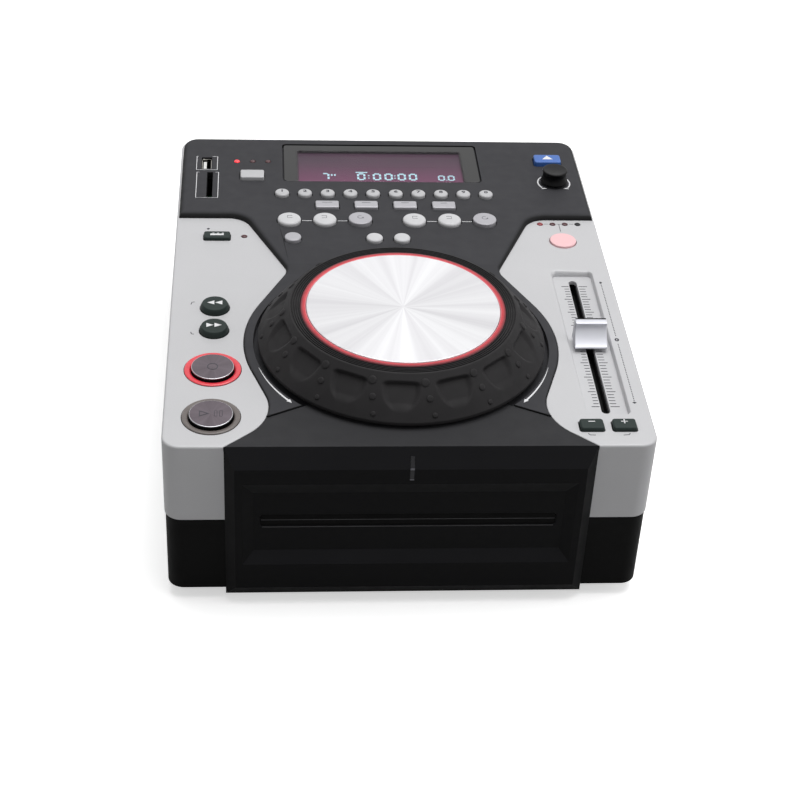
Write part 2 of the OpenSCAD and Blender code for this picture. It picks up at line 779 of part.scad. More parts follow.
module light_pipes() {
  color(red_col) {
    light_ring(cue_pos);
    light_ring(play_pos);
    for (p = deck_lamps) rod(p[0], p[1], lamp_r, deck_base_z - 3, deck_z + lamp_rise);
    for (p = concat([left_lamp], right_lamps)) rod(p[0], p[1], lamp_r, panel_under - 2, top_z + lamp_rise);
    intersection() {
      slab(-marker_w / 2, marker_w / 2, -fascia_out, 0.8, marker_low, marker_high);
      side_profile(fascia_low, top_z, front_y + 3, front_y - fascia_out, chamfer_low, chamfer_top + 7);
    }
  }
}

// Electronics ----------------------------------------------------------
module tact(p) {
  slab(p[0] - 3, p[0] + 3, p[1] - 3, p[1] + 3, board_top - eps, board_top + switch_body);
  rod(p[0], p[1], 1.7, board_top + switch_body - 0.1, switch_z);
}

// Block of a width and depth centred at p
module block(p, w, d, z0, z1) {
  slab(p[0] - w / 2, p[0] + w / 2, p[1] - d / 2, p[1] + d / 2, z0, z1);
}

module control_board() {
  edge = side_x - 5;
  arm = side_x - 33;
  arm_back = small_y - 17.3;
  socket_top = deck_base_z - 0.35;
  usb_size = [7.2, 14.4];
  sd_size = [6.8, 28];
  color(board_col) difference() {
    union() {
      slab(-edge, edge, arm_back, body_d - 7, board_z, board_top);
      slab(-edge, -arm, 10, arm_back + eps, board_z, board_top);
      slab(arm, edge, 8, arm_back + eps, board_z, board_top);
      for (i = [0 : 9]) tact([number_x(i), number_y]);
      for (i = [0 : 3]) tact([function_x(i), function_y]);
      for (x = loop_x) tact([x, loop_y]);
      for (x = small_x) tact([x, small_y]);
      for (y = [search_far, search_near]) tact([search_x, y]);
      for (p = [source_pos, eject_pos, mode_pos, cue_pos, play_pos, pitch_pos, minus_pos, plus_pos]) tact(p);
      block(knob_pos, 12, 13, board_top - eps, board_top + 5.8);
      block(usb_pos, usb_size[0], usb_size[1], board_top - eps, socket_top);
      block(sd_pos, sd_size[0], sd_size[1], board_z - 8, socket_top);
    }
    block(usb_pos, usb_size[0] - 2, usb_size[1] - 2.2, board_top + 1, top_z + 1);
    block(sd_pos, sd_size[0] - 4, sd_size[1] - 3.2, board_z - 6, top_z + 1);
  }
  color(key_col) block(usb_pos - [1, 0], 1.4, 10.8, board_top + 0.9, top_z - 0.7);
}

module main_board() {
  z = pcb_low + board_t;
  color(board_col) {
    slab(pcb_x0, pcb_x1, pcb_d0, pcb_d1, pcb_low, z);
    for (c = chips) block([pcb_x0 + c[0] + c[2] / 2, pcb_d0 + c[1] + c[3] / 2], c[2], c[3], z - eps, z + c[4]);
    for (x = capacitor_x) rod(pcb_x0 + x, pcb_d0 + capacitor_d, capacitor_r, z - eps, z + capacitor_h);
  }
}

// Plug-in shell in the back wall: a body, a rim outside and a hollow
module rear_shell(x, half, depth, hollow, hollow_d) {
  difference() {
    union() {
      block([x, body_d - depth / 2], 2 * half[0], depth, inlet_z - half[1], inlet_z + half[1]);
      block([x, body_d + 0.6], 2 * (half[0] + bezel_edge), bezel_edge, inlet_z - half[1] - bezel_edge,
        inlet_z + half[1] + bezel_edge);
    }
    block([x, body_d - hollow_d / 2 + 3], 2 * hollow[0], hollow_d + 6, inlet_z - hollow[1],
      inlet_z + hollow[1]);
  }
}

module rocker_pin(l, r) {
  translate([rocker_x, fy(rocker_pin_d), inlet_z]) rotate([0, 90, 0]) cylinder(h = l, r = r, center = true);
}

module power_supply() {
  mid = inlet_z;
  color(steel_col) {
    difference() {
      slab(psu_x0, psu_x1, psu_d0, psu_d1, floor_z, psu_top);
      slab(psu_x0 + psu_t, psu_x1 - psu_t, psu_d0 + psu_t, psu_d1 - psu_t, floor_z + psu_t, psu_top + 1);
    }
    slab(psu_x0 + 5, psu_x1 - 5, psu_d0 + 6, psu_d1 - 8, floor_z + 1, floor_z + 7);
    slab(psu_x0 + 10, psu_x0 + 34, psu_d0 + 18, psu_d0 + 42, floor_z + 6, floor_z + 26.5);
    slab(inlet_x - 8, inlet_x + 8, psu_d1 - 1, body_d - 8, mid - 6, mid + 6);
    slab(rocker_x - 5, rocker_x + 5, psu_d1 - 1, body_d - 13, mid - 6, mid + 6);
    rear_shell(inlet_x, inlet_half, 12, [10.5, 7], 9.5);
    difference() {
      rear_shell(rocker_x, rocker_half, 14, [6, 9.2], 12.5);
      rocker_pin(rocker_size[0] + 2.4, rocker_pin_r + run_gap);
    }
    for (x = [-6, 0, 6]) block([inlet_x + x, body_d - 5.75], 1.6, 8.5, mid - 2, mid + 2);
  }
}

module power_rocker() {
  half = rocker_size[1] / 2;
  color(case_col) {
    translate([rocker_x, fy(rocker_pin_d), inlet_z]) rotate([rocker_tilt, 0, 0]) rotate([90, 0, 90])
      linear_extrude(rocker_size[0], center = true) polygon([
        [-6, -2], [-6, 2], [1.5, half - 0.2], [3.8, half - 0.6],
        [2.6, 0], [3.8, -half + 0.6], [1.5, -half + 0.2]]);
    rocker_pin(rocker_size[0] + 2, rocker_pin_r);
  }
}

module rear_rod(x, d0, d1, r) {
  translate([x, fy(d0), jack_z]) rotate([-90, 0, 0]) cylinder(h = d1 - d0, r = r);
}

module rear_jacks() {
  color(steel_col) {
    difference() {
      union() {
        slab(jack_x[0] - 10, mini_x + 10, body_d - 26, rear_in - 0.3, pcb_low + board_t, jack_z + 7);
        for (x = jack_x) rear_rod(x, rear_in - 1, body_d + jack_out, jack_r);
        rear_rod(mini_x, rear_in - 1, body_d + 2, mini_nut_r);
      }
      for (x = jack_x) rear_rod(x, body_d - 2, body_d + jack_out + 1, jack_r - 0.6);
      rear_rod(mini_x, body_d - 12, body_d + 8, mini_r);
    }
    for (x = jack_x) rear_rod(x, body_d - 2.2, body_d + 3.8, 1.7);
  }
}

// Disc loader ----------------------------------------------------------
module loader_frame() {
  hw = loader_w / 2;
  color(steel_col) difference() {
    union() {
      difference() {
        slab(-hw, hw, loader_front, loader_back, loader_low, loader_high);
        slab(-hw + loader_t, hw - loader_t, loader_front - 1, loader_back + 1,
          loader_low + loader_t, loader_high - loader_t);
      }
      slab(-hw + 1, hw - 1, roller_y + 8, loader_back, path_low - 3, path_low - 1.8);
      rod(0, hub_y, motor_r, loader_low + loader_t - eps, path_low - 4.2);
      for (s = [-1, 1]) block([s * (hw - 3), roller_y], 4, 10, loader_low + 1, path_low);
      for (s = [-1, 1]) slab(s * 11.5 - 1, s * 11.5 + 1, hub_y + 16, loader_back - 1, loader_low + 1, sled_low);
    }
    rod(0, hub_y, hub_r + 2, path_low - 4, path_low, $fn = 48);
    slab(-15, 15, hub_y + 3, loader_back - 2, path_low - 4, path_low);
    rod(0, hub_y, pin_r + run_gap, loader_low + 5, path_low);
    translate([0, fy(roller_y), roller_z]) rotate([0, 90, 0])
      cylinder(h = loader_w + 4, r = pin_r + run_gap, center = true);
    for (d = [55, 110]) block([0, d], 60, 30, loader_high - 3, loader_high + 1);
  }
}

module feed_roller() {
  color(deck_col) translate([0, fy(roller_y), roller_z]) rotate([0, 90, 0]) {
    cylinder(h = loader_w - 4, r = pin_r, center = true);
    cylinder(h = loader_w - 14, r = roller_r, center = true);
  }
}

module spindle_hub() {
  color(case_col) {
    rod(0, hub_y, pin_r, loader_low + 6, path_low - 3.5);
    rod(0, hub_y, hub_r, path_low - 3.6, path_low - 1.4, $fn = 48);
    rod(0, hub_y, 7.3, path_low - 1.5, path_low - 0.2, $fn = 48);
  }
}

module laser_sled() {
  color(metal_col) {
    slab(-sled_w / 2, sled_w / 2, sled_y, sled_y + sled_l, sled_low, path_low - 4);
    slab(-7, 7, sled_y + 2, sled_y + sled_l - 1, path_low - 4.2, path_low - 2.2);
    rod(0, hub_y + lens_r_in, 3.4, path_low - 2.4, path_low - 1.2);
  }
}

// Fasteners and feet ---------------------------------------------------
module case_screws() {
  color(steel_col) for (p = screw_pos) {
    difference() {
      union() {
        rod(p[0], p[1], 1.2, case_z + screw_head_h, seam_z + 14);
        rod(p[0], p[1], 2.9, case_z + 0.4, case_z + screw_head_h);
      }
      block(p, 4, 0.6, case_z, case_z + 1.4);
      block(p, 0.6, 4, case_z, case_z + 1.4);
    }
  }
}

module rubber_feet() {
  color([0.1, 0.1, 0.1]) for (p = foot_pos) {
    rod(p[0], p[1], foot_r, 0, case_z);
    rod(p[0], p[1], foot_pin_r, case_z - eps, floor_z);
  }
}

module key_1() { number_key(0); }
module key_2() { number_key(1); }
module key_3() { number_key(2); }
module key_4() { number_key(3); }
module key_5() { number_key(4); }
module key_6() { number_key(5); }
module key_7() { number_key(6); }
module key_8() { number_key(7); }
module key_9() { number_key(8); }
module key_0() { number_key(9); }
module function_key_1() { function_key(0); }
module function_key_2() { function_key(1); }
module function_key_3() { function_key(2); }
module function_key_4() { function_key(3); }
module loop_key_1() { loop_key(0); }
module loop_key_2() { loop_key(1); }
module loop_key_3() { loop_key(2); }
module loop_key_4() { loop_key(3); }
module loop_key_5() { loop_key(4); }
module loop_key_6() { loop_key(5); }
module tap_key() { small_key(0); }
module round_key_1() { small_key(1); }
module round_key_2() { small_key(2); }

module silver_round_key(p, r, h) {
  round_key(p[0], p[1], r, top_z, panel_under, h);
}

module source_key() {
  color(key_col) rect_key(source_pos, source_size, deck_z, deck_base_z, source_h);
}

module eject_key() {
  color([0.22, 0.4, 0.72]) rect_key(eject_pos, eject_size, deck_z, deck_base_z, eject_h);
}

module jog_mode_key() {
  color(dark_col) rect_key(mode_pos, mode_size, top_z, panel_under, silver_key_h);
}

module search_back_key() {
  color(dark_col) silver_round_key([search_x, search_far], search_r, silver_key_h);
}

module search_fwd_key() {
  color(dark_col) silver_round_key([search_x, search_near], search_r, silver_key_h);
}

module cue_button() {
  color(metal_col) silver_round_key(cue_pos, disc_key_r, disc_key_h);
}

module play_button() {
  color(metal_col) silver_round_key(play_pos, disc_key_r, disc_key_h);
}

module pitch_button() {
  color([0.98, 0.8, 0.8]) silver_round_key(pitch_pos, pitch_r, pitch_h);
}

module pitch_minus_key() {
  color(dark_col) rect_key(minus_pos, nudge_size, top_z, panel_under, nudge_h);
}

module pitch_plus_key() {
  color(dark_col) rect_key(plus_pos, nudge_size, top_z, panel_under, nudge_h);
}

bottom_case();
top_case();
console_panel();
front_fascia();
case_screws();
rubber_feet();
display_window();
display_module();
jog_rim();
jog_ring();
jog_platter();
jog_hub();
jog_bearing();
select_knob();
knob_plunger();
fader_cap();
fader_track();
light_pipes();
control_board();
main_board();
power_supply();
loader_frame();
feed_roller();
spindle_hub();
laser_sled();
rear_jacks();
power_rocker();
key_1();
key_2();
key_3();
key_4();
key_5();
key_6();
key_7();
key_8();
key_9();
key_0();
function_key_1();
function_key_2();
function_key_3();
function_key_4();
loop_key_1();
loop_key_2();
loop_key_3();
loop_key_4();
loop_key_5();
loop_key_6();
tap_key();
round_key_1();
round_key_2();
source_key();
eject_key();
jog_mode_key();
search_back_key();
search_fwd_key();
cue_button();
play_button();
pitch_button();
pitch_minus_key();
pitch_plus_key();
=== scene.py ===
"""Finished surfaces of a slot-loading tabletop player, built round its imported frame."""
import json
import math

import bmesh
import bpy
from mathutils import Matrix, Vector
from mathutils.geometry import tessellate_polygon


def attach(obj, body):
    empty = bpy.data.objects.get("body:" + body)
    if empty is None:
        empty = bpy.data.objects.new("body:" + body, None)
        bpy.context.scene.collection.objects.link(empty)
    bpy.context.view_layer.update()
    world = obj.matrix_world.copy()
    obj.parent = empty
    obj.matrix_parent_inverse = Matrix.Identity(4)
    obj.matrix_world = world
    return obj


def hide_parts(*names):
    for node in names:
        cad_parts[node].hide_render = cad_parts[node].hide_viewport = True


bl_info = {
    "name": "Tabletop player",
    "version": (1, 0, 0),
    "blender": (4, 5, 0),
    "location": "View3D > Sidebar > Player",
    "description": "Builds the visible pieces and finishes of a slot-loading tabletop player",
    "category": "Object",
}

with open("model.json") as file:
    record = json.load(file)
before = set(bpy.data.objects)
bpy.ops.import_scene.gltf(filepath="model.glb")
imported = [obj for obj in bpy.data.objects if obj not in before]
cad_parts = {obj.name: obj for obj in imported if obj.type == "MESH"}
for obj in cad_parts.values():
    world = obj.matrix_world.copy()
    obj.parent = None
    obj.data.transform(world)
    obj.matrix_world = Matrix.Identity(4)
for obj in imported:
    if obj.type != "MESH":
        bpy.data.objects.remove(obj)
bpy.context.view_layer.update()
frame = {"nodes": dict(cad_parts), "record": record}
NODES = frame["nodes"]
GROUPS = frame["record"]["behaviour"]["bodies"]
BODY_OF = {node: body for body, members in GROUPS.items() for node in members}

# Lengths are millimetres; X to the right, D behind the front face of the case, Z above the table.
MM = 0.001
FRONT = -140.05
BODY_W = 218.0
BODY_D = 276.0
CORNER_R = 8.0
SEAM_Z = 47.6
TOP_Z = 88.7
DECK_Z = 91.7
LIP_Z = 89.5
PANEL_UNDER = 86.2
DECK_BASE = 88.75
STEM_Z = 83.1
KEY_CX = -0.6
WHEEL = (0.0, 79.5)
WELL_R = 69.2
RIM_R = 67.3
LIP_R = 74.0
CORNER_LOBE = (-82.6, 180.0, 12.0)
TIP_LOBE = (-61.2, 141.0, 7.75)
FRONT_LOBE = (-88.0, 29.0, 25.5)
STRIP_X = 82.3
WINDOW = (-54.0, 52.8, 226.5, 267.5)
VIEW_ZONE = (-45.8, 43.5, 224.0, 260.5)
BOARD_TOP = 77.6
FADER_X = 89.8
FADER_Y = 82.8
CAP_Y = 80.8
RECESS = (19.6, 118.6)
SLOT = (3.9, 110.6)
NUMBER_X = [KEY_CX + 12 * (i - 4.5) for i in range(10)]
NUMBER_Y = 212.3
FUNCTION_X = [KEY_CX + 20.4 * (i - 1.5) for i in range(4)]
FUNCTION_Y = 200.5
LOOP_X = [-51.2, -32.9, -14.6, 13.4, 31.7, 50.0]
LOOP_Y = 185.3
SMALL_Y = 167.3
SMALL_X = [-49.6, -8.1, 5.9]
SOURCE = (-70.3, 231.3)
EJECT = (91.0, 249.4)
MODE = (-88.0, 173.6)
SEARCH_X = -87.8
SEARCH_FAR = 108.4
SEARCH_NEAR = 89.2
CUE = (-87.8, 57.3)
PLAY = (-87.8, 21.6)
PITCH = (89.5, 171.4)
NUDGE = [(80.6, 14.0), (95.3, 14.0)]
KNOB = (91.8, 226.6)
USB = (-94.8, 245.4)
CARD = (-92.8, 222.0)
DECK_LAMPS = [(-78.6, 247.6), (-70.1, 247.6), (-61.9, 247.6)]
LEFT_LAMP = (-74.2, 174.5)
RIGHT_LAMPS = [(79.7, 188.4), (86.3, 188.4), (92.8, 188.4), (99.5, 188.4)]
# Caps: radius and height of the round ones; width, depth and height of the others
NUMBER_CAP = (3.7, 1.9)
LOOP_CAP = (6.05, 2.1)
SMALL_CAP = (4.2, 1.9)
SEARCH_CAP = (6.8, 1.6)
PITCH_CAP = (6.7, 1.0)
DISC_STEM = (9.3, 1.8)
FUNCTION_CAP = (12.2, 6.8, 1.5)
SOURCE_CAP = (12.6, 8.3, 1.9)
EJECT_CAP = (14.6, 8.6, 2.6)
MODE_CAP = (13.2, 6.4, 1.7)
NUDGE_CAP = (10.5, 7.2, 1.9)
DISC_R = 9.7
DISC_TOP = TOP_Z + 1.95
# Sloping rim of the wheel: upper edge, fall and run to its foot, number of finger hollows
SLOPE_R = 53.2
SLOPE_Z = 108.25
SLOPE_FALL = 16.0
SLOPE_RUN = RIM_R - 0.2 - SLOPE_R
HOLLOWS = 15
# Seam between the wheel surround and the front strip, on the left
SEAM_OUT = (-62.7, 21.2)
SEAM_IN = (-42.6, 31.6)
# Thickness of print, depth of moulded grain, and the reach (in metres) in which vertices weld
INK = 0.06
GRAIN_DEPTH = 0.02
WELD = 0.001 * MM
# Stage: the fitted camera (millimetres, degrees, metres), the paper floor and its lift
LENS = 79.875
CAMERA_TURN = (36.362, 5.556, 3.212)
CAMERA_SPOT = (-0.06575, -0.74563, 0.56174)
FLOOR_HALF = 3.0
FLOOR_LIFT = 0.55

MATERIALS = {}


# ---------------------------------------------------------------- colour and nodes
def srgb(code):
    """Linear RGBA of a hex colour."""
    out = []
    for i in (1, 3, 5):
        c = int(code[i:i + 2], 16) / 255
        out.append(c / 12.92 if c <= 0.04045 else ((c + 0.055) / 1.055) ** 2.4)
    return (*out, 1.0)


def add(tree, kind, settings=None, inputs=None):
    """Adds one node; an input is a value or the output socket it is linked from."""
    node = tree.nodes.new(kind)
    for key, value in (settings or {}).items():
        setattr(node, key, value)
    for key, value in (inputs or {}).items():
        if isinstance(value, bpy.types.NodeSocket):
            tree.links.new(value, node.inputs[key])
        else:
            node.inputs[key].default_value = value
    return node


def blank(name):
    """Makes an empty material, keeps it under its name and gives its node tree."""
    mat = bpy.data.materials.new(name)
    mat.use_nodes = True
    mat.node_tree.nodes.clear()
    MATERIALS[name] = mat
    return mat.node_tree


def close(tree, shader):
    add(tree, "ShaderNodeOutputMaterial", None, {"Surface": shader})


def place(tree, stretch=(1, 1, 1)):
    """Object coordinates in millimetres, so a pattern's scale is one over its size."""
    coord = add(tree, "ShaderNodeTexCoord").outputs["Object"]
    scale = tuple(1000 * s for s in stretch)
    return add(tree, "ShaderNodeMapping", None, {"Vector": coord, "Scale": scale}).outputs["Vector"]


def noise(tree, where, size, detail=3.0, rough=0.5):
    inputs = {"Vector": where, "Scale": 1.0 / size, "Detail": detail, "Roughness": rough}
    return add(tree, "ShaderNodeTexNoise", None, inputs).outputs["Fac"]


def spread(tree, value, low, high, from_low=0.3, from_high=0.7):
    """Maps a pattern onto a range."""
    inputs = {"Value": value, "From Min": from_low, "From Max": from_high,
              "To Min": low, "To Max": high}
    return add(tree, "ShaderNodeMapRange", None, inputs).outputs["Result"]


def maths(tree, operation, a, b=0.0):
    return add(tree, "ShaderNodeMath", {"operation": operation}, {0: a, 1: b}).outputs[0]


def blend(tree, fac, a, b):
    node = add(tree, "ShaderNodeMix", {"data_type": "RGBA"}, {"Factor": fac})
    for socket, value in (("A", a), ("B", b)):
        target = [s for s in node.inputs if s.name == socket and s.type == "RGBA"][0]
        if isinstance(value, bpy.types.NodeSocket):
            tree.links.new(value, target)
        else:
            target.default_value = value
    return [s for s in node.outputs if s.type == "RGBA"][0]


def shade(code, factor):
    r, g, b, a = srgb(code)
    return (min(1, r * factor), min(1, g * factor), min(1, b * factor), a)


def bump(tree, height, strength, depth):
    inputs = {"Height": height, "Strength": strength, "Distance": depth * MM}
    return add(tree, "ShaderNodeBump", None, inputs).outputs["Normal"]


def surface(tree, inputs):
    """Ends a material with one principled shader."""
    close(tree, add(tree, "ShaderNodeBsdfPrincipled", None, inputs).outputs[0])


def moulded(name, code, rough, grain=0.45, relief=0.25, drift=0.05, dust=0.0, metal=0.0,
            coat=0.0, sub=0.0, fleck=0.0, spec=0.5, edge=None, turned=(0.72, 0.985)):
    """Moulded or painted plastic: fine grain in the light, slow drift in tone and gloss, a little dust.

    edge is painted shade: the colour it takes where it turns away from the upright, over the range in turned."""
    tree = blank(name)
    where = place(tree)
    tone = spread(tree, noise(tree, where, 34.0, 2.0), 0.0, 1.0)
    colour = blend(tree, tone, shade(code, 1 - drift), shade(code, 1 + drift))
    if fleck:
        sparkle = spread(tree, noise(tree, where, 0.16, 1.0), 0.0, fleck, 0.42, 0.72)
        colour = blend(tree, sparkle, colour, srgb("#F4F4F6"))
    if dust:
        cells = add(tree, "ShaderNodeTexVoronoi", None, {"Vector": where, "Scale": 1 / 13.0})
        size = add(tree, "ShaderNodeSeparateColor", None, {"Color": cells.outputs["Color"]}).outputs["Red"]
        reach = spread(tree, size, 0.0, 0.022, 0.72, 1.0)
        speck = maths(tree, "LESS_THAN", cells.outputs["Distance"], reach)
        speck = maths(tree, "MULTIPLY", speck, dust)
        colour = blend(tree, speck, colour, srgb("#8E8C8A"))
    # Painted shade: the colour goes towards edge where the surface turns away from the upright
    if edge:
        turn = add(tree, "ShaderNodeNewGeometry").outputs["Normal"]
        up = add(tree, "ShaderNodeSeparateXYZ", None, {0: turn}).outputs["Z"]
        colour = blend(tree, spread(tree, up, 1.0, 0.0, *turned), colour, srgb(edge))
    gloss = spread(tree, noise(tree, where, 7.0, 4.0), rough - 0.05, rough + 0.06)
    normal = bump(tree, noise(tree, where, grain, 2.0), relief, GRAIN_DEPTH)
    inputs = {"Base Color": colour, "Roughness": gloss, "Normal": normal, "Metallic": metal,
              "Coat Weight": coat, "Coat Roughness": 0.12, "Subsurface Weight": sub,
              "Subsurface Radius": (0.002, 0.002, 0.002), "Specular IOR Level": spec}
    surface(tree, inputs)


def metal(name, code, rough, stretch, streak, strength):
    """Bare metal with fine machining streaks along one direction."""
    tree = blank(name)
    where = place(tree, stretch)
    lines = noise(tree, where, streak, 2.0)
    tone = spread(tree, noise(tree, place(tree), 12.0, 2.0), 0, 1)
    colour = blend(tree, tone, shade(code, 0.94), shade(code, 1.05))
    gloss = spread(tree, lines, rough - 0.06, rough + 0.08)
    normal = bump(tree, lines, strength, 0.01)
    surface(tree, {"Base Color": colour, "Metallic": 1.0, "Roughness": gloss, "Normal": normal})


def glowing(name, code, strength, rough=0.3, cloudy=0.12):
    """A lamp lens or light ring: coloured plastic lit from behind, brighter in its clear spots."""
    tree = blank(name)
    where = place(tree)
    cloud = spread(tree, noise(tree, where, 3.0, 2.0), 0.0, 1.0)
    colour = blend(tree, cloud, shade(code, 1 - cloudy * 0.8), shade(code, 1 + cloudy * 0.7))
    lit = blend(tree, cloud, shade(code, 1 - cloudy), shade(code, 1 + cloudy))
    normal = bump(tree, noise(tree, where, 0.5, 2.0), 0.15, GRAIN_DEPTH)
    surface(tree, {"Base Color": colour, "Roughness": rough, "Normal": normal,
                   "Emission Color": lit, "Emission Strength": strength,
                   "Coat Weight": 0.3, "Coat Roughness": 0.1})


def from_axis(tree, centre):
    """Offset in plan from an upright axis, and its length in metres."""
    coord = add(tree, "ShaderNodeTexCoord").outputs["Object"]
    hub = (centre[0] * MM, (FRONT + centre[1]) * MM, 0)
    kind = "ShaderNodeVectorMath"
    local = add(tree, kind, {"operation": "SUBTRACT"}, {0: coord, 1: hub}).outputs[0]
    flat = add(tree, kind, {"operation": "MULTIPLY"}, {0: local, 1: (1, 1, 0)}).outputs[0]
    return flat, add(tree, kind, {"operation": "LENGTH"}, {0: flat}).outputs["Value"]


def painted_sheen_rays(tree, offset, size, low, high):
    """Painted sheen: tones that change round an axis only, standing in for the radial reflections of turned
    metal.
    """
    ray = add(tree, "ShaderNodeVectorMath", {"operation": "NORMALIZE"}, {0: offset}).outputs[0]
    return spread(tree, noise(tree, ray, size, 3.0, 0.6), 0.0, 1.0, low, high)


def spun_platter():
    """Spun aluminium under clear lacquer: soft sheen across the turning marks, and faint sector tones of
    painted reflection in its colour.
    """
    tree = blank("spun_aluminium")
    offset, radius = from_axis(tree, WHEEL)
    colour = blend(tree, painted_sheen_rays(tree, offset, 0.30, 0.36, 0.64), srgb("#D7D6D9"), srgb("#EBEBED"))
    grooves = maths(tree, "SINE", maths(tree, "MULTIPLY", radius, 2 * math.pi / (0.5 * MM)))
    normal = bump(tree, grooves, 0.04, 0.004)
    around = add(tree, "ShaderNodeTangent", {"direction_type": "RADIAL", "axis": "Z"}).outputs[0]
    surface(tree, {"Base Color": colour, "Metallic": 0.28, "Roughness": 0.34, "Anisotropic": 0.6,
                   "Anisotropic Rotation": 0.25, "Tangent": around, "Normal": normal,
                   "Coat Weight": 0.1, "Coat Roughness": 0.1, "Specular IOR Level": 0.3})


def spun_disc(name, centre):
    """Face of a disc button: warm grey metal turned on a lathe, with soft rays of painted sheen in its
    colour.
    """
    tree = blank(name)
    offset = from_axis(tree, centre)[0]
    colour = blend(tree, painted_sheen_rays(tree, offset, 0.8, 0.3, 0.7), srgb("#585156"), srgb("#6A6268"))
    lines = noise(tree, place(tree, (1, 0.08, 1)), 0.25, 2.0)
    surface(tree, {"Base Color": colour, "Metallic": 1.0, "Normal": bump(tree, lines, 0.2, 0.01),
                   "Roughness": spread(tree, lines, 0.34, 0.46)})


def red_acrylic():
    """Red acrylic ring: pale on its inner bevel with a painted highlight for the platter's light it gathers,
    deep at its outer edge.
    """
    tree = blank("acrylic_red")
    radius = from_axis(tree, WHEEL)[1]
    # Painted highlight: the pale band on the inner bevel
    inner = spread(tree, radius, 0.0, 1.0, 45.3 * MM, 45.8 * MM)
    outer = spread(tree, radius, 0.0, 1.0, 46.2 * MM, 47.5 * MM)
    cloud = spread(tree, noise(tree, place(tree), 5.0, 2.0), 0.0, 1.0)
    red = blend(tree, cloud, srgb("#C4333E"), srgb("#D4474F"))
    colour = blend(tree, outer, blend(tree, inner, srgb("#E58890"), red), srgb("#661C26"))
    surface(tree, {"Base Color": colour, "Roughness": 0.3, "Coat Weight": 0.1, "Coat Roughness": 0.08,
                   "Specular IOR Level": 0.3,
                   "Subsurface Weight": 0.1, "Subsurface Radius": (0.002, 0.001, 0.001),
                   "Normal": bump(tree, noise(tree, place(tree), 1.5, 2.0), 0.05, GRAIN_DEPTH)})


def wheel_rubber():
    """Soft-touch moulding of the finger rim: satin, handled bright on the ridges, dull in the hollows."""
    tree = blank("soft_touch_rubber")
    where = place(tree)
    pointed = add(tree, "ShaderNodeNewGeometry").outputs["Pointiness"]
    ridge = spread(tree, pointed, 0.0, 1.0, 0.44, 0.58)
    cloud = spread(tree, noise(tree, where, 18.0, 3.0), 0, 1)
    tone = blend(tree, cloud, srgb("#201F20"), srgb("#272627"))
    colour = blend(tree, maths(tree, "MULTIPLY", ridge, 0.4), tone, srgb("#3A393A"))
    gloss = spread(tree, noise(tree, where, 5.0, 4.0), 0.52, 0.64)
    normal = bump(tree, noise(tree, where, 0.3, 2.0), 0.12, GRAIN_DEPTH)
    surface(tree, {"Base Color": colour, "Roughness": gloss, "Normal": normal,
                   "Specular IOR Level": 0.12})


def smoked_pane():
    """Acrylic over the display: black screen print behind its border, a clear violet filter in the middle."""
    tree = blank("smoked_acrylic")
    axes = add(tree, "ShaderNodeSeparateXYZ", None, {0: place(tree)})
    clear = 1.0
    x0, x1, d0, d1 = VIEW_ZONE
    for axis, low, high in (("X", x0, x1), ("Y", FRONT + d0, FRONT + d1)):
        for start, end in ((low - 0.8, low + 0.8), (high + 0.8, high - 0.8)):
            first, last, a, b = (start, end, 0.0, 1.0) if start < end else (end, start, 1.0, 0.0)
            inside = spread(tree, axes.outputs[axis], a, b, first, last)
            clear = maths(tree, "MULTIPLY", clear, inside)
    gloss = spread(tree, noise(tree, place(tree, (0.25, 1, 1)), 1.6, 5.0), 0.05, 0.12)
    tint = blend(tree, clear, srgb("#111112"), srgb("#241622"))
    alpha = spread(tree, clear, 1.0, 0.28, 0.0, 1.0)
    surface(tree, {"Base Color": tint, "Roughness": gloss, "Alpha": alpha, "IOR": 1.49})


def display_face():
    """Vacuum display behind its filter: dull violet phosphor field with fine grid wires; its glow, brighter
    towards the front, is painted light.
    """
    tree = blank("display_field")
    where = place(tree)
    axes = add(tree, "ShaderNodeSeparateXYZ", None, {0: where})
    wires = maths(tree, "SINE", maths(tree, "MULTIPLY", axes.outputs["X"], 2 * math.pi / 0.6))
    tone = spread(tree, noise(tree, where, 26.0, 2.0), 0.0, 1.0)
    # Painted light: the field is brighter towards the front
    fall = spread(tree, axes.outputs["Y"], 0.0, 1.0, FRONT + 229, FRONT + 252)
    base = blend(tree, fall, srgb("#7F4468"), srgb("#4C3748"))
    colour = blend(tree, maths(tree, "MULTIPLY", tone, 0.4), base, srgb("#644258"))
    colour = blend(tree, spread(tree, wires, 0.0, 0.12, -1, 1), colour, srgb("#2A1E2A"))
    # Painted light: the whole field glows in its own colour
    surface(tree, {"Base Color": colour, "Roughness": 0.4,
                   "Emission Color": colour, "Emission Strength": 0.9})


def lacquered_board(tree, where):
    """Green lacquer over copper tracks: its colour, and its relief."""
    cells = add(tree, "ShaderNodeTexVoronoi", {"feature": "DISTANCE_TO_EDGE"},
                {"Vector": where, "Scale": 1 / 6.0})
    tracks = maths(tree, "LESS_THAN", cells.outputs["Distance"], 0.06)
    return blend(tree, tracks, srgb("#1E5A34"), srgb("#2F7A4A")), bump(tree, tracks, 0.4, 0.03)


def board_and_sockets():
    """Solder-masked board with black switch bodies and socket shells standing on it."""
    tree = blank("solder_mask_and_sockets")
    where = place(tree)
    high = add(tree, "ShaderNodeSeparateXYZ", None, {0: where}).outputs["Z"]
    green, normal = lacquered_board(tree, where)
    cloud = spread(tree, noise(tree, where, 2.0), 0, 1)
    black = blend(tree, cloud, srgb("#060606"), srgb("#0C0C0C"))
    colour = blend(tree, maths(tree, "GREATER_THAN", high, BOARD_TOP + 0.02), green, black)
    surface(tree, {"Base Color": colour, "Roughness": 0.5, "Normal": normal,
                   "Specular IOR Level": 0.2})


def circuit():
    """Solder-masked board: green lacquer over copper runs."""
    tree = blank("solder_mask")
    colour, normal = lacquered_board(tree, place(tree))
    surface(tree, {"Base Color": colour, "Roughness": 0.35, "Normal": normal})


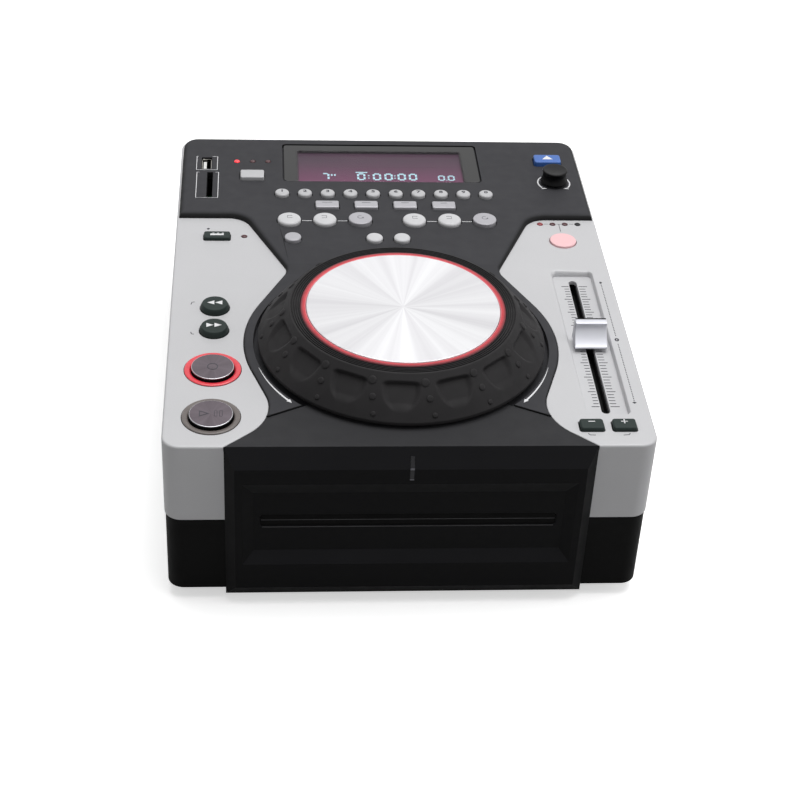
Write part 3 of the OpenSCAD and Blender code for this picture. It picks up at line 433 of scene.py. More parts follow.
def make_materials():
    # Textured ABS of the console: charcoal, dry, a few dust specks, and painted shade that makes it nearly
    # black where it turns down
    moulded("abs_console", "#38383B", 0.62, grain=0.4, relief=0.35, dust=0.9, drift=0.04, spec=0.15,
            edge="#141415")
    # Satin silver lacquer on ABS, fine metal flake
    moulded("silver_lacquer", "#C6C6C8", 0.42, grain=0.25, relief=0.08, drift=0.015, metal=0.08,
            fleck=0.08, spec=0.3)
    # Near-black front moulding, slightly glossy on its flats; painted shade darkens its upright faces, so its
    # upward chamfers read lighter
    moulded("abs_bezel", "#202022", 0.42, grain=0.6, relief=0.12, dust=0.25, drift=0.08, spec=0.05,
            edge="#121213", turned=(0.02, 0.36))
    # The same moulding, lighter, as a painted highlight along the slot's edges
    moulded("bezel_lip_highlight", "#343436", 0.4, grain=0.6, relief=0.05, drift=0.1, spec=0.3)
    # Front strip of the console, a darker pressing of the same ABS
    moulded("abs_strip", "#2E2E30", 0.62, grain=0.4, relief=0.35, dust=0.9, drift=0.04, spec=0.15)
    # Lower case, plain black ABS with a fine spark-eroded texture
    moulded("abs_case", "#121212", 0.5, grain=0.5, relief=0.3, drift=0.08, spec=0.04)
    # Pale satin key caps
    moulded("abs_key_pale", "#C0C0C2", 0.36, grain=0.5, relief=0.05, drift=0.015, sub=0.05, spec=0.35)
    # White translucent caps of the loop keys
    moulded("abs_key_white", "#D0D0D2", 0.32, grain=0.5, relief=0.04, drift=0.01, sub=0.2, spec=0.35)
    # Painted silver caps
    moulded("key_silver", "#B2B1B6", 0.36, grain=0.25, relief=0.06, drift=0.02, metal=0.15,
            fleck=0.08, spec=0.3)
    # Dark green-black rubber keys
    moulded("key_rubber", "#2B3432", 0.5, grain=0.35, relief=0.2, drift=0.05, dust=0.2, spec=0.15)
    # Blue moulded eject cap
    moulded("abs_blue", "#3E6BB8", 0.34, grain=0.5, relief=0.06, drift=0.05)
    # Black moulded selector cap, with painted shade making its sides nearly black
    moulded("abs_knob", "#242425", 0.42, grain=0.4, relief=0.2, drift=0.06, spec=0.12, edge="#040405")
    # White and dark printing ink
    moulded("ink_white", "#E9E9EB", 0.6, grain=0.2, relief=0.2, drift=0.03, spec=0.3)
    moulded("ink_dark", "#3E3E44", 0.6, grain=0.2, relief=0.2, drift=0.05, spec=0.3)
    moulded("ink_grey", "#6C6C72", 0.6, grain=0.2, relief=0.2, drift=0.05, spec=0.3)
    # Black rubber of feet, dusty
    moulded("foot_rubber", "#1A1A1A", 0.75, grain=0.8, relief=0.4, drift=0.1, dust=0.5, spec=0.25)
    # Dark lamp lens, unlit
    moulded("lens_dark", "#4A2026", 0.3, grain=0.5, relief=0.05, drift=0.1)
    # Tinted clear marker bar in the bezel
    moulded("lens_smoke", "#2C2C2F", 0.3, grain=0.8, relief=0.1, drift=0.1, spec=0.2)
    # Unlit light ring: clear grey plastic
    moulded("ring_clear", "#706966", 0.28, grain=1.0, relief=0.05, drift=0.05, coat=0.2, spec=0.3)
    # Flock on the lips inside the disc slot
    moulded("black_flock", "#0A0A0A", 0.9, grain=0.3, relief=0.6, drift=0.1, spec=0.1)
    # Moulded liners and tongues of the sockets, and the coloured collars of the rear ones; the black one also
    # paints the shade in the gap round each light ring
    moulded("black_plastic_and_gap_shade", "#070707", 0.7, grain=0.5, relief=0.2, drift=0.1, spec=0.1)
    moulded("socket_white", "#E4E4E2", 0.4, grain=0.5, relief=0.1, drift=0.02)
    moulded("jack_red", "#B3272C", 0.35, grain=0.5, relief=0.1, drift=0.04)
    moulded("jack_orange", "#C96A1E", 0.35, grain=0.5, relief=0.1, drift=0.04)
    # Lacquered slider cap, silver with a satin sheen
    moulded("cap_silver", "#DADBE2", 0.36, grain=0.3, relief=0.05, drift=0.02, metal=0.35,
            fleck=0.04, spec=0.3)
    # Black-finished steel of the loader and the slider track
    moulded("black_steel", "#0E0E0F", 0.55, grain=0.6, relief=0.1, drift=0.1, metal=0.4, spec=0.3)
    # Brushed disc buttons, warm grey metal
    spun_disc("spun_disc_cue", CUE)
    spun_disc("spun_disc_play", PLAY)
    # Turned steel, folded zinc sheet, sintered bush, nickel plate and a cast sled
    metal("bright_steel", "#B9B9BD", 0.28, (1, 1, 0.1), 0.3, 0.15)
    metal("zinc_sheet", "#A6A8AA", 0.42, (1, 0.2, 1), 0.5, 0.2)
    metal("sintered_brass", "#B08A4A", 0.38, (1, 1, 1), 0.5, 0.25)
    metal("nickel", "#C9C6BF", 0.2, (1, 1, 1), 0.6, 0.08)
    metal("cast_aluminium", "#B4B6B8", 0.4, (1, 1, 1), 0.7, 0.3)
    # Lit plastics: light ring, lamps, the pink button and the display's digits
    glowing("ring_lit", "#DC3A46", 0.16)
    glowing("lamp_lit", "#F2303A", 0.8)
    glowing("lamp_low", "#7A1C24", 0.25)
    glowing("cap_pink", "#F2C3C6", 0.04, 0.4, 0.02)
    glowing("phosphor", "#BFEAF6", 1.35, 0.5, 0.03)
    spun_platter()
    red_acrylic()
    wheel_rubber()
    smoked_pane()
    display_face()
    circuit()
    board_and_sockets()


# ---------------------------------------------------------------- shapes
class Shape:
    """Vertices and faces in millimetres, with a material number on each face."""

    def __init__(self):
        self.verts = []
        self.faces = []
        self.mats = []

    def add(self, verts, faces):
        base = len(self.verts)
        self.verts += verts
        self.faces += [[base + i for i in f] for f in faces]
        self.mats += [0] * len(faces)

    def moved(self, x, d):
        self.verts = [(x + a, d + b, h) for a, b, h in self.verts]
        return self

    def take(self, other, shift=0):
        """Joins another shape to this one, its material numbers raised by shift."""
        base = len(self.verts)
        self.verts += other.verts
        self.faces += [[base + i for i in f] for f in other.faces]
        self.mats += [m + shift for m in other.mats]


def build(name, shape, mats, node=None, body=None, sharp=38.0):
    """Makes the object, welds it, turns its faces outwards and smooths it, then puts it on its body."""
    mesh = bpy.data.meshes.new(name)
    metres = [(x * MM, (FRONT + d) * MM, z * MM) for x, d, z in shape.verts]
    mesh.from_pydata(metres, [], shape.faces)
    mesh.polygons.foreach_set("material_index", shape.mats)
    for m in mats:
        mesh.materials.append(MATERIALS[m])
    bm = bmesh.new()
    bm.from_mesh(mesh)
    bmesh.ops.remove_doubles(bm, verts=bm.verts, dist=WELD)
    bmesh.ops.dissolve_degenerate(bm, edges=bm.edges, dist=1e-8)
    bmesh.ops.recalc_face_normals(bm, faces=bm.faces)
    bm.to_mesh(mesh)
    bm.free()
    mesh.polygons.foreach_set("use_smooth", [True] * len(mesh.polygons))
    mesh.set_sharp_from_angle(angle=math.radians(sharp))
    obj = bpy.data.objects.new(name, mesh)
    bpy.context.scene.collection.objects.link(obj)
    weights = obj.modifiers.new("normals", "WEIGHTED_NORMAL")
    weights.keep_sharp = True
    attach(obj, body or BODY_OF[node])
    if node:
        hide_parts(node)
    return obj


def soften(obj, width, angle):
    """Bevels every edge sharper than an angle."""
    bevel = obj.modifiers.new("edges", "BEVEL")
    bevel.width = width * MM
    bevel.segments = 2
    bevel.limit_method = "ANGLE"
    bevel.angle_limit = math.radians(angle)
    bevel.harden_normals = True


def arc(cx, cy, r, a0, a1, n):
    """Points on an arc, ends included."""
    out = []
    for i in range(n + 1):
        a = math.radians(a0 + (a1 - a0) * i / n)
        out.append((cx + r * math.cos(a), cy + r * math.sin(a)))
    return out


def circle(cx, cy, r, n=48):
    return arc(cx, cy, r, 0, 360 * (n - 1) / n, n - 1)


def rrect(cx, cy, w, d, r, n=6):
    out = []
    for sx, sy, a in ((1, 1, 0), (-1, 1, 90), (-1, -1, 180), (1, -1, 270)):
        out += arc(cx + sx * (w / 2 - r), cy + sy * (d / 2 - r), r, a, a + 90, n)
    return out


def area(pts):
    return sum(a[0] * b[1] - b[0] * a[1] for a, b in zip(pts, pts[1:] + pts[:1])) / 2


def oriented(pts, ccw):
    return pts if (area(pts) > 0) == ccw else pts[::-1]


def normals_in(pts):
    """At each point, the mitred normal towards the left of the walk, which is the material side."""
    out = []
    n = len(pts)
    for i in range(n):
        ax, ay = pts[i - 1]
        bx, by = pts[i]
        cx, cy = pts[(i + 1) % n]
        l1 = math.hypot(bx - ax, by - ay) or 1
        l2 = math.hypot(cx - bx, cy - by) or 1
        n1 = (-(by - ay) / l1, (bx - ax) / l1)
        n2 = (-(cy - by) / l2, (cx - bx) / l2)
        k = max(0.35, 1 + n1[0] * n2[0] + n1[1] * n2[1])
        out.append(((n1[0] + n2[0]) / k, (n1[1] + n2[1]) / k))
    return out


def slab(loops, low, top, rounding=0.3, steps=3, low_round=0.0):
    """A plate between two heights. The first loop is its outline and the rest are holes.

    top is a height or a function of the point; rounding is a radius, or a function of the loop
    number and the point that gives (inset, fall) of the rounded upper edge."""
    shape = Shape()
    loops = [oriented(pts, k == 0) for k, pts in enumerate(loops)]
    height = top if callable(top) else (lambda p: top)
    radius = rounding if callable(rounding) else (lambda k, p: (rounding, rounding))
    rings_of = []
    for k, pts in enumerate(loops):
        side = normals_in(pts)
        rings = []
        if low_round:
            for s in range(steps + 1):
                a = math.pi / 2 * s / steps
                inset = low_round * (1 - math.sin(a))
                rise = low_round * (1 - math.cos(a))
                rings.append([(p[0] + m[0] * inset, p[1] + m[1] * inset, low + rise)
                              for p, m in zip(pts, side)])
        else:
            rings.append([(p[0], p[1], low) for p in pts])
        for s in range(steps + 1):
            a = math.pi / 2 * s / steps
            ring = []
            for p, m in zip(pts, side):
                inset, fall = radius(k, p)
                i, f = inset * (1 - math.cos(a)), fall * (1 - math.sin(a))
                ring.append((p[0] + m[0] * i, p[1] + m[1] * i, height(p) - f))
            rings.append(ring)
        rings_of.append(rings)
        n = len(pts)
        verts = [v for ring in rings for v in ring]
        faces = []
        for j in range(len(rings) - 1):
            for i in range(n):
                a, b = j * n + i, j * n + (i + 1) % n
                faces.append([a, b, b + n, a + n])
        shape.add(verts, faces)
    for end in (0, -1):
        flat = [[Vector((v[0], v[1], 0)) for v in rings[end]] for rings in rings_of]
        verts = [v for rings in rings_of for v in rings[end]]
        shape.add(verts, [list(t) for t in tessellate_polygon(flat)])
    return shape


def lathe(profile, n=48, x=0.0, d=0.0, z=0.0, axis="Z", closed=False):
    """Turns (radius, height) points round an upright axis, or round one along D. Radius 0 closes an end."""
    shape = Shape()
    verts, rows = [], []
    for r, h in profile:
        if r < 1e-6:
            rows.append([len(verts)] * n)
            verts.append((0.0, 0.0, h))
        else:
            rows.append(list(range(len(verts), len(verts) + n)))
            turns = [2 * math.pi * i / n for i in range(n)]
            verts += [(r * math.cos(a), r * math.sin(a), h) for a in turns]
    faces = []
    pairs = list(zip(rows, rows[1:]))
    if closed:
        pairs.append((rows[-1], rows[0]))
    for a, b in pairs:
        for i in range(n):
            j = (i + 1) % n
            f = []
            for v in (a[i], a[j], b[j], b[i]):
                if v not in f:
                    f.append(v)
            if len(f) > 2:
                faces.append(f)
    if axis == "D":
        verts = [(a, h, b) for a, b, h in verts]
    shape.add([(a + x, b + d, h + z) for a, b, h in verts], faces)
    return shape


def prism(profile, x0, x1, soft):
    """A side profile of (d, z) points drawn out along X, its two ends drawn in a little."""
    n = len(profile)
    profile = oriented(profile, True)
    side = normals_in(profile)
    rows = []
    for x, inset in ((x0, soft), (x0 + soft, 0), (x1 - soft, 0), (x1, soft)):
        rows.append([(x, p[0] + m[0] * inset, p[1] + m[1] * inset) for p, m in zip(profile, side)])
    shape = Shape()
    faces = []
    for j in range(len(rows) - 1):
        for i in range(n):
            a, b = j * n + i, j * n + (i + 1) % n
            faces.append([a, b, b + n, a + n])
    shape.add([v for row in rows for v in row], faces)
    for row in (rows[0], rows[-1]):
        tris = tessellate_polygon([[Vector((v[1], v[2], 0)) for v in row]])
        shape.add(row, [list(t) for t in tris])
    return shape


def box(x0, x1, d0, d1, z0, z1, soft):
    """A block with softened edges."""
    corner = max(0.05, min(soft, (x1 - x0) / 3, (d1 - d0) / 3))
    edge = min(soft, (z1 - z0) / 3)
    plan = rrect((x0 + x1) / 2, (d0 + d1) / 2, x1 - x0, d1 - d0, corner, 2)
    return slab([plan], z0, z1, edge, 2, edge)


def inked(loops, z, thick=INK):
    """A flat print, sunk a little so that it is joined to what it is printed on."""
    return slab(loops, z - 0.05, z + thick, 0.02, 1)


def stroke(points, width, z, thick=INK):
    """A printed line: a flat ribbon of a width, or of a width at each point, along points."""
    n = len(points)
    widths = width if isinstance(width, (list, tuple)) else [width] * n
    left, right = [], []
    for i, (x, d) in enumerate(points):
        ax, ad = points[max(0, i - 1)]
        bx, bd = points[min(n - 1, i + 1)]
        l = math.hypot(bx - ax, bd - ad) or 1
        nx, nd = -(bd - ad) / l, (bx - ax) / l
        h = widths[i] / 2
        left.append((x + nx * h, d + nd * h))
        right.append((x - nx * h, d - nd * h))
    return inked([left + right[::-1]], z, thick)


def outline(loop, width, z):
    """A printed closed line."""
    loop = oriented(loop, True)
    inner = [(p[0] + m[0] * width, p[1] + m[1] * width) for p, m in zip(loop, normals_in(loop))]
    return inked([loop, inner], z)


def glyph(text, size, x, d, z, wide, bold):
    """A digit or sign from Blender's own font, laid flat and centred."""
    curve = bpy.data.curves.new("glyph", "FONT")
    curve.body = text
    curve.size = size
    curve.align_x = "CENTER"
    curve.align_y = "CENTER"
    curve.extrude = INK / 2
    curve.offset = bold
    curve.resolution_u = 3
    obj = bpy.data.objects.new("glyph", curve)
    bpy.context.scene.collection.objects.link(obj)
    bpy.context.view_layer.update()
    mesh = bpy.data.meshes.new_from_object(obj.evaluated_get(bpy.context.evaluated_depsgraph_get()))
    shape = Shape()
    shape.add([(v.co.x * wide + x, v.co.y + d, v.co.z + z) for v in mesh.vertices],
              [list(p.vertices) for p in mesh.polygons])
    bpy.data.objects.remove(obj)
    bpy.data.curves.remove(curve)
    bpy.data.meshes.remove(mesh)
    return shape


def polygon(points, z):
    return inked([points], z)


def mirror(points):
    return [(-x, d) for x, d in reversed(points)]


def step(value, low, high):
    t = min(1.0, max(0.0, (value - low) / (high - low)))
    return t * t * (3 - 2 * t)


# ---------------------------------------------------------------- outlines in plan
def surround_left(gap):
    """Edge of the black surround from the deck's tip round the wheel to the front lobe."""
    tx, td, tr = TIP_LOBE
    fx, fd, fr = FRONT_LOBE
    return (arc(tx, td, tr + gap, 0, -25.8, 8)
            + arc(*WHEEL, LIP_R - gap, 154.2, 198.45, 40)
            + arc(fx, fd, fr + gap, 18.45, -49, 30))


def deck_left(gap):
    """Edge of the raised deck from its back left corner to the tip beside the wheel."""
    cx, cd, cr = CORNER_LOBE
    tx, td, tr = TIP_LOBE
    edge = -BODY_W / 2 + 1 + gap
    back = BODY_D - 1 - gap
    return (arc(edge + CORNER_R, back - CORNER_R, CORNER_R - gap, 90, 180, 12)
            + [(edge, 250), (edge, 230), (edge, 210), (edge, 192 + gap)]
            + [(-100, 192 + gap), (-92, 192 + gap)]
            + arc(cx, cd, cr + gap, 90, 24, 16)
            + arc(tx, td, tr + gap, 24, -25.8, 14))


def line_circle(p, q, r):
    """Point on segment p-q, walked from p, at radius r from the wheel's axis."""
    low, high = 0.0, 1.0
    for _ in range(40):
        t = (low + high) / 2
        x, d = p[0] + (q[0] - p[0]) * t, p[1] + (q[1] - p[1]) * t
        if math.hypot(x - WHEEL[0], d - WHEEL[1]) > r:
            low = t
        else:
            high = t
    return (x, d)


def seam_point(r, shift):
    """Where the seam between surround and front strip meets a circle round the wheel."""
    return line_circle((SEAM_OUT[0], SEAM_OUT[1] + shift), (SEAM_IN[0], SEAM_IN[1] + shift), r)


def seam_sweep(point):
    """Angle of a point of the seam, seen from the wheel's axis."""
    return math.degrees(math.atan2(point[1] - WHEEL[1], point[0] - WHEEL[0])) % 360


def behind_seam(p):
    """True for a point of the surround's left edge that lies behind the line of the seam."""
    return p[1] > 20.9 + 0.52 * (p[0] + 63.3)


def deck_top(p):
    """Height of the console: the deck runs down to the wheel surround at its two tips."""
    return LIP_Z + (DECK_Z - LIP_Z) * step(p[1], 135.5, 150.0)


# ---------------------------------------------------------------- pieces
def case_pieces():
    """Silver upper case: its top with every opening, its walls and the slider recess."""
    side = BODY_W / 2
    # Left half of the cut for the console: round the wheel, then under the deck
    cut = [(-50, 141), (-51.5, 150), (-68, 188), (-80, 197), (-101.5, 199), (-101.5, 263)]
    left = [(-STRIP_X, 0)] + surround_left(0.0)[::-1] + cut
    outer = [(-x, d) for x, d in left]
    corner = CORNER_R
    rim = []
    for x, d, start in ((side - corner, corner, -90), (side - corner, BODY_D - corner, 0),
                        (-side + corner, BODY_D - corner, 90), (-side + corner, corner, 180)):
        rim += arc(x, d, corner, start, start + 90, 12)
    plan = rim + left + outer[::-1]
    holes = [rrect(*MODE, 13.9, 7.1, 1.35)]
    holes += [circle(SEARCH_X, y, 7.15) for y in (SEARCH_FAR, SEARCH_NEAR)]
    holes += [circle(*CUE, 12.4, 64), circle(*PLAY, 12.4, 64), circle(*PITCH, 7.05)]
    holes += [rrect(x, d, 11.5, 7.9, 1.35) for x, d in NUDGE]
    holes += [circle(x, d, 1.6, 20) for x, d in [LEFT_LAMP] + RIGHT_LAMPS]
    holes += [rrect(FADER_X, FADER_Y, *RECESS, 2)]

    def edges(k, p):
        if k == len(holes):
            far = 2.4 if p[1] > FADER_Y + 50 else 0.2
            return (0.7, 2.5) if p[0] > FADER_X + 5 else (far, 0.9 * far)
        if k:
            return (0.25, 0.25)
        on_side = abs(p[0]) > side - corner - 0.01 or p[1] > BODY_D - 0.01
        on_front = p[1] < 0.01 and abs(p[0]) > STRIP_X - 0.5
        return (1.1, 1.1) if on_side or on_front else (0.3, 0.3)

    shape = slab([plan] + holes, PANEL_UNDER, TOP_Z, edges, 4)
    # Walls, open in front where the bezel plugs in
    plug, wall = 77.7, 2.5
    inner = rrect(0, BODY_D / 2, BODY_W - 2 * wall, BODY_D - 2 * wall, corner - wall, 12)
    inner = oriented(inner, True)
    first = min(range(len(inner)),
                key=lambda i: math.hypot(inner[i][0] + side - corner, inner[i][1] - wall))
    inner = inner[first:] + inner[:first]
    walls = rim + [(-plug, 0), (-plug, wall)] + inner[::-1] + [(plug, wall), (plug, 0)]
    shape.take(slab([walls], SEAM_Z, PANEL_UNDER, 0.0, 1, 0.25))
    # Slider recess: its floor with the slot, and its walls
    tray = rrect(FADER_X, FADER_Y, RECESS[0] + 4, RECESS[1] + 4.2, 2.5)
    slot = rrect(FADER_X, FADER_Y, *SLOT, SLOT[0] / 2 - 0.01, 8)
    floor = TOP_Z - 3
    shape.take(slab([tray, slot], floor - 2, floor, 0.25, 3))
    shape.take(slab([tray, rrect(FADER_X, FADER_Y, *RECESS, 2)], floor, PANEL_UNDER + 0.01, 0.0, 1))
    build("top_case_skin", shape, ["silver_lacquer"], "top_case")


def console_piece(deck_round, lip_round):
    """Black deck and wheel surround: one top with every key opening, and the well under the wheel."""
    deck = deck_left(0.15)
    low = surround_left(0.2)
    seam = seam_point(WELL_R, 0.2)
    # The surround's left edge, stopped where the seam to the front strip crosses it
    stop = [p for p in low[9:] if behind_seam(p) or p[1] > 40]
    sweep = seam_sweep(seam)
    well = arc(*WHEEL, WELL_R, sweep, 540 - sweep - 360, 260)
    left = deck + stop + [(-63.2, 21.15)]
    outer = left + [seam] + well[1:-1] + [(-seam[0], seam[1])] + mirror(left)
    holes = [circle(x, NUMBER_Y, 4.05, 32) for x in NUMBER_X]
    holes += [rrect(x, FUNCTION_Y, 12.9, 7.5, 1.35) for x in FUNCTION_X]
    holes += [circle(x, LOOP_Y, 6.4) for x in LOOP_X]
    holes += [circle(x, SMALL_Y, 4.55, 32) for x in SMALL_X]
    holes += [rrect(*SOURCE, 13.3, 9.0, 1.35), rrect(*EJECT, 15.3, 9.3, 1.35)]
    x0, x1, d0, d1 = WINDOW
    holes += [rrect((x0 + x1) / 2, (d0 + d1) / 2, x1 - x0, d1 - d0, 2.2)]
    holes += [rrect(*USB, 5.4, 12.4, 0.3, 2), rrect(*CARD, 3, 26.6, 0.3, 2)]
    holes += [circle(x, d, 1.6, 20) for x, d in DECK_LAMPS]
    holes += [circle(*KNOB, 3.9, 32)]

    def edges(k, p):
        if k:
            return (0.22, 0.22)
        from_wheel = math.hypot(p[0] - WHEEL[0], p[1] - WHEEL[1])
        if from_wheel < WELL_R + 0.3:
            return (0.5, 0.5)
        on_seam = p[1] < 20.4 + 0.52 * (63.2 - abs(p[0])) + 1.2
        if on_seam and p[1] < 32 and from_wheel < 90 and abs(p[0]) < 63.5:
            return (0.2, 0.2)
        k = step(p[1], 138.0, 152.0)
        rise = deck_top(p) - DECK_BASE
        return (lip_round + (deck_round - lip_round) * k, rise * 0.92)

    under = DECK_BASE - 0.04
    shape = slab([outer] + holes, under, deck_top, edges, 6)
    # Pane seat and the wall of the wheel well
    rims = [rrect((x0 + x1) / 2, (d0 + d1) / 2, x1 - x0 + more, d1 - d0 + more, corner)
            for more, corner in ((2, 2.8), (-4, 1.5))]
    shape.take(slab(rims, under, DECK_Z - 1.8, 0.1, 1))
    wall = WELL_R + 1.8
    shape.take(lathe([(9.1, 84), (wall, 84), (wall, 87.7), (WELL_R, 87.7), (WELL_R, 86.4), (9.1, 86.4)],
                     160, *WHEEL, closed=True))
    build("console_skin", shape, ["abs_console"], "console_panel")


def bezel_piece():
    """Front moulding with its chamfers, recessed frame, disc slot and the strip before the wheel."""
    # Front face, side slopes, lower and upper chamfers
    out = -4.08
    half_w, side = 82.0, 4.5
    low, high = 3.8, TOP_Z
    chamfer_low, chamfer_top = 6.8, 9.7
    # Recessed frame: its outer edges, and how far its slopes run in, up and back
    frame_half, frame_low, frame_top = 148.6 / 2, 24.6, 70.9
    run_in, run_up, run_back = 5.0, 6.6, 2.5
    # Disc slot: half its length, half its height, its middle and its corners
    slot_w, slot_h, slot_z, slot_r = 132.8 / 2, 3.4, 48.3, 1.4
    # The part that plugs into the case
    plug, plug_low, plug_top, plug_back = 77.4, 12.3, 84.4, 2.9
    deep = out + run_back
    v = {}
    verts = []

    def vert(key, x, d, z):
        v[key] = len(verts)
        verts.append((x, d, z))

    for s, tag in ((-1, "l"), (1, "r")):
        vert("b0" + tag, s * half_w, 0.0, low)
        vert("t0" + tag, s * half_w, 0.0, high)
        vert("b1" + tag, s * (half_w - side), out, low + chamfer_low)
        vert("t1" + tag, s * (half_w - side), out, high - chamfer_top)
        vert("fb" + tag, s * frame_half, out, frame_low)
        vert("ft" + tag, s * frame_half, out, frame_top)
        vert("gb" + tag, s * (frame_half - run_in), deep, frame_low + run_up)
        vert("gt" + tag, s * (frame_half - run_in), deep, frame_top - run_up)
    faces = [["b0l", "b0r", "b1r", "b1l"], ["t1l", "t1r", "t0r", "t0l"], ["b0l", "b1l", "t1l", "t0l"],
             ["b1r", "b0r", "t0r", "t1r"], ["b1l", "b1r", "fbr", "fbl"], ["ftl", "ftr", "t1r", "t1l"],
             ["b1l", "fbl", "ftl", "t1l"], ["fbr", "b1r", "t1r", "ftr"], ["fbl", "fbr", "gbr", "gbl"],
             ["gtl", "gtr", "ftr", "ftl"], ["fbl", "gbl", "gtl", "ftl"], ["gbr", "fbr", "ftr", "gtr"]]
    quads = [[v[k] for k in f] for f in faces]
    # Recess floor round the slot, then the slot's own walls
    ring = []
    n_arc = 8
    for sx, sz, a in ((1, 1, 0), (-1, 1, 90), (-1, -1, 180), (1, -1, 270)):
        for i in range(n_arc + 1):
            t = math.radians(a + 90 * i / n_arc)
            ring.append((sx * (slot_w - slot_r), sz * (slot_h - slot_r), math.cos(t), math.sin(t)))
    levels = [(deep, 0.4), (deep + 0.08, 0.2), (deep + 0.4, 0.0), (plug_back, 0.0)]
    floor_ring = None
    for d, grow in levels:
        row = []
        for x, z, c, t in ring:
            row.append(len(verts))
            verts.append((x + (slot_r + grow) * c, d, slot_z + z + (slot_r + grow) * t))
        if floor_ring is None:
            floor_ring = row
        else:
            n = len(row)
            quads += [[last[i], last[(i + 1) % n], row[(i + 1) % n], row[i]] for i in range(n)]
        last = row

    def fill(outer, inner):
        """Closes the flat ring between two loops that stand in one plane."""
        flat = [[Vector((verts[i][0], verts[i][2], 0)) for i in loop] for loop in (outer, inner)]
        order = outer + inner
        return [[order[i] for i in t] for t in tessellate_polygon(flat)]

    quads += fill([v["gbl"], v["gbr"], v["gtr"], v["gtl"]], floor_ring)
    back = len(verts)
    # Back of the moulding behind the case front, left open round the slot
    for half, z0, z1, d in ((half_w, low, high, 0.0), (plug, plug_low, plug_top, 0.0),
                            (plug, plug_low, plug_top, plug_back)):
        verts += [(-half, d, z0), (half, d, z0), (half, d, z1), (-half, d, z1)]
    for i in range(4):
        j = (i + 1) % 4
        quads.append([back + i, back + j, back + 4 + j, back + 4 + i])
        quads.append([back + 4 + i, back + 4 + j, back + 8 + j, back + 8 + i])
    quads += fill([back + 8 + i for i in range(4)], last)
    shape = Shape()
    shape.add(verts, quads)
    # Front strip of the deck surface, between the silver wings and the wheel
    fx, fd, fr = FRONT_LOBE
    lobe = [p for p in arc(fx, fd, fr + 0.2, 18.45, -49, 40) if not behind_seam(p)]
    left = [(-63.3, 20.95)] + lobe + [(-STRIP_X + 0.2, 0.0)]

    def strip(inner):
        seam = seam_point(inner, 0.0)
        sweep = seam_sweep(seam)
        well = arc(*WHEEL, inner, sweep, 540 - sweep, 90)
        return left + mirror(left) + [(-seam[0], seam[1])] + well[1:-1][::-1] + [seam]

    def edges(k, p):
        return (0.45, 0.45) if p[1] < 0.05 else (0.2, 0.2)

    # The strip runs on as a thin ledge under the wheel's rim
    shape.take(slab([strip(RIM_R - 3)], TOP_Z - 0.9, TOP_Z, edges, 3), 1)
    shape.take(slab([strip(WELL_R + 2)], PANEL_UNDER, TOP_Z - 0.9, 0.0, 1), 1)
    # Painted highlights along the slot's edges: one along its foot, a fainter one between its lips
    foot = slot_z - slot_h
    shape.take(box(-slot_w + 1, slot_w - 1, deep - 0.12, deep + 0.3, foot - 0.35, foot + 0.05, 0.05), 3)
    shape.take(box(-slot_w + 0.5, slot_w - 0.5, -1.12, -0.9, slot_z - 0.1, slot_z + 0.25, 0.05), 3)
    # Flocked lips just inside the slot, a hair apart
    for low, high in ((slot_z - slot_h, slot_z - 0.12), (slot_z + 0.12, slot_z + slot_h)):
        shape.take(box(-slot_w - 0.6, slot_w + 0.6, -1.0, -0.4, low - 0.3, high + 0.3, 0.1), 2)
    mats = ["abs_bezel", "abs_strip", "black_flock", "bezel_lip_highlight"]
    obj = build("bezel_skin", shape, mats, "front_fascia", sharp=20)
    soften(obj, 0.35, 20)
    obj.modifiers.move(len(obj.modifiers) - 1, 0)


def slope_point(t):
    """Radius and height on the wheel's sloping rim, from its upper edge to its foot."""
    crown = 0.9
    return SLOPE_R + SLOPE_RUN * t, SLOPE_Z - SLOPE_FALL * t + crown * math.sin(math.pi * t)


def hollow(along, across):
    """Share of a finger hollow's full depth: a steep curved upper wall and a floor that runs out below."""
    start, span, widest = 3.0, 14.6, 9.5
    sag = 0.6 * (across / 8.2) ** 2
    b = (along - start - sag) / (span - sag)
    if not 0 < b < 1:
        return 0.0
    taper = math.sqrt(max(0.0, 1 - max(0.0, (b - 0.35) / 0.65) ** 2.1))
    half = widest * (1 - 0.16 * b) * taper
    half *= min(1.0, 0.86 + b)
    if half < 0.05 or across >= half:
        return 0.0
    side = step(1 - across / half, 0.0, 0.34)
    return side * step(b, 0.0, 0.15) * (1 - 0.72 * b) * step(1 - b, 0.0, 0.32)


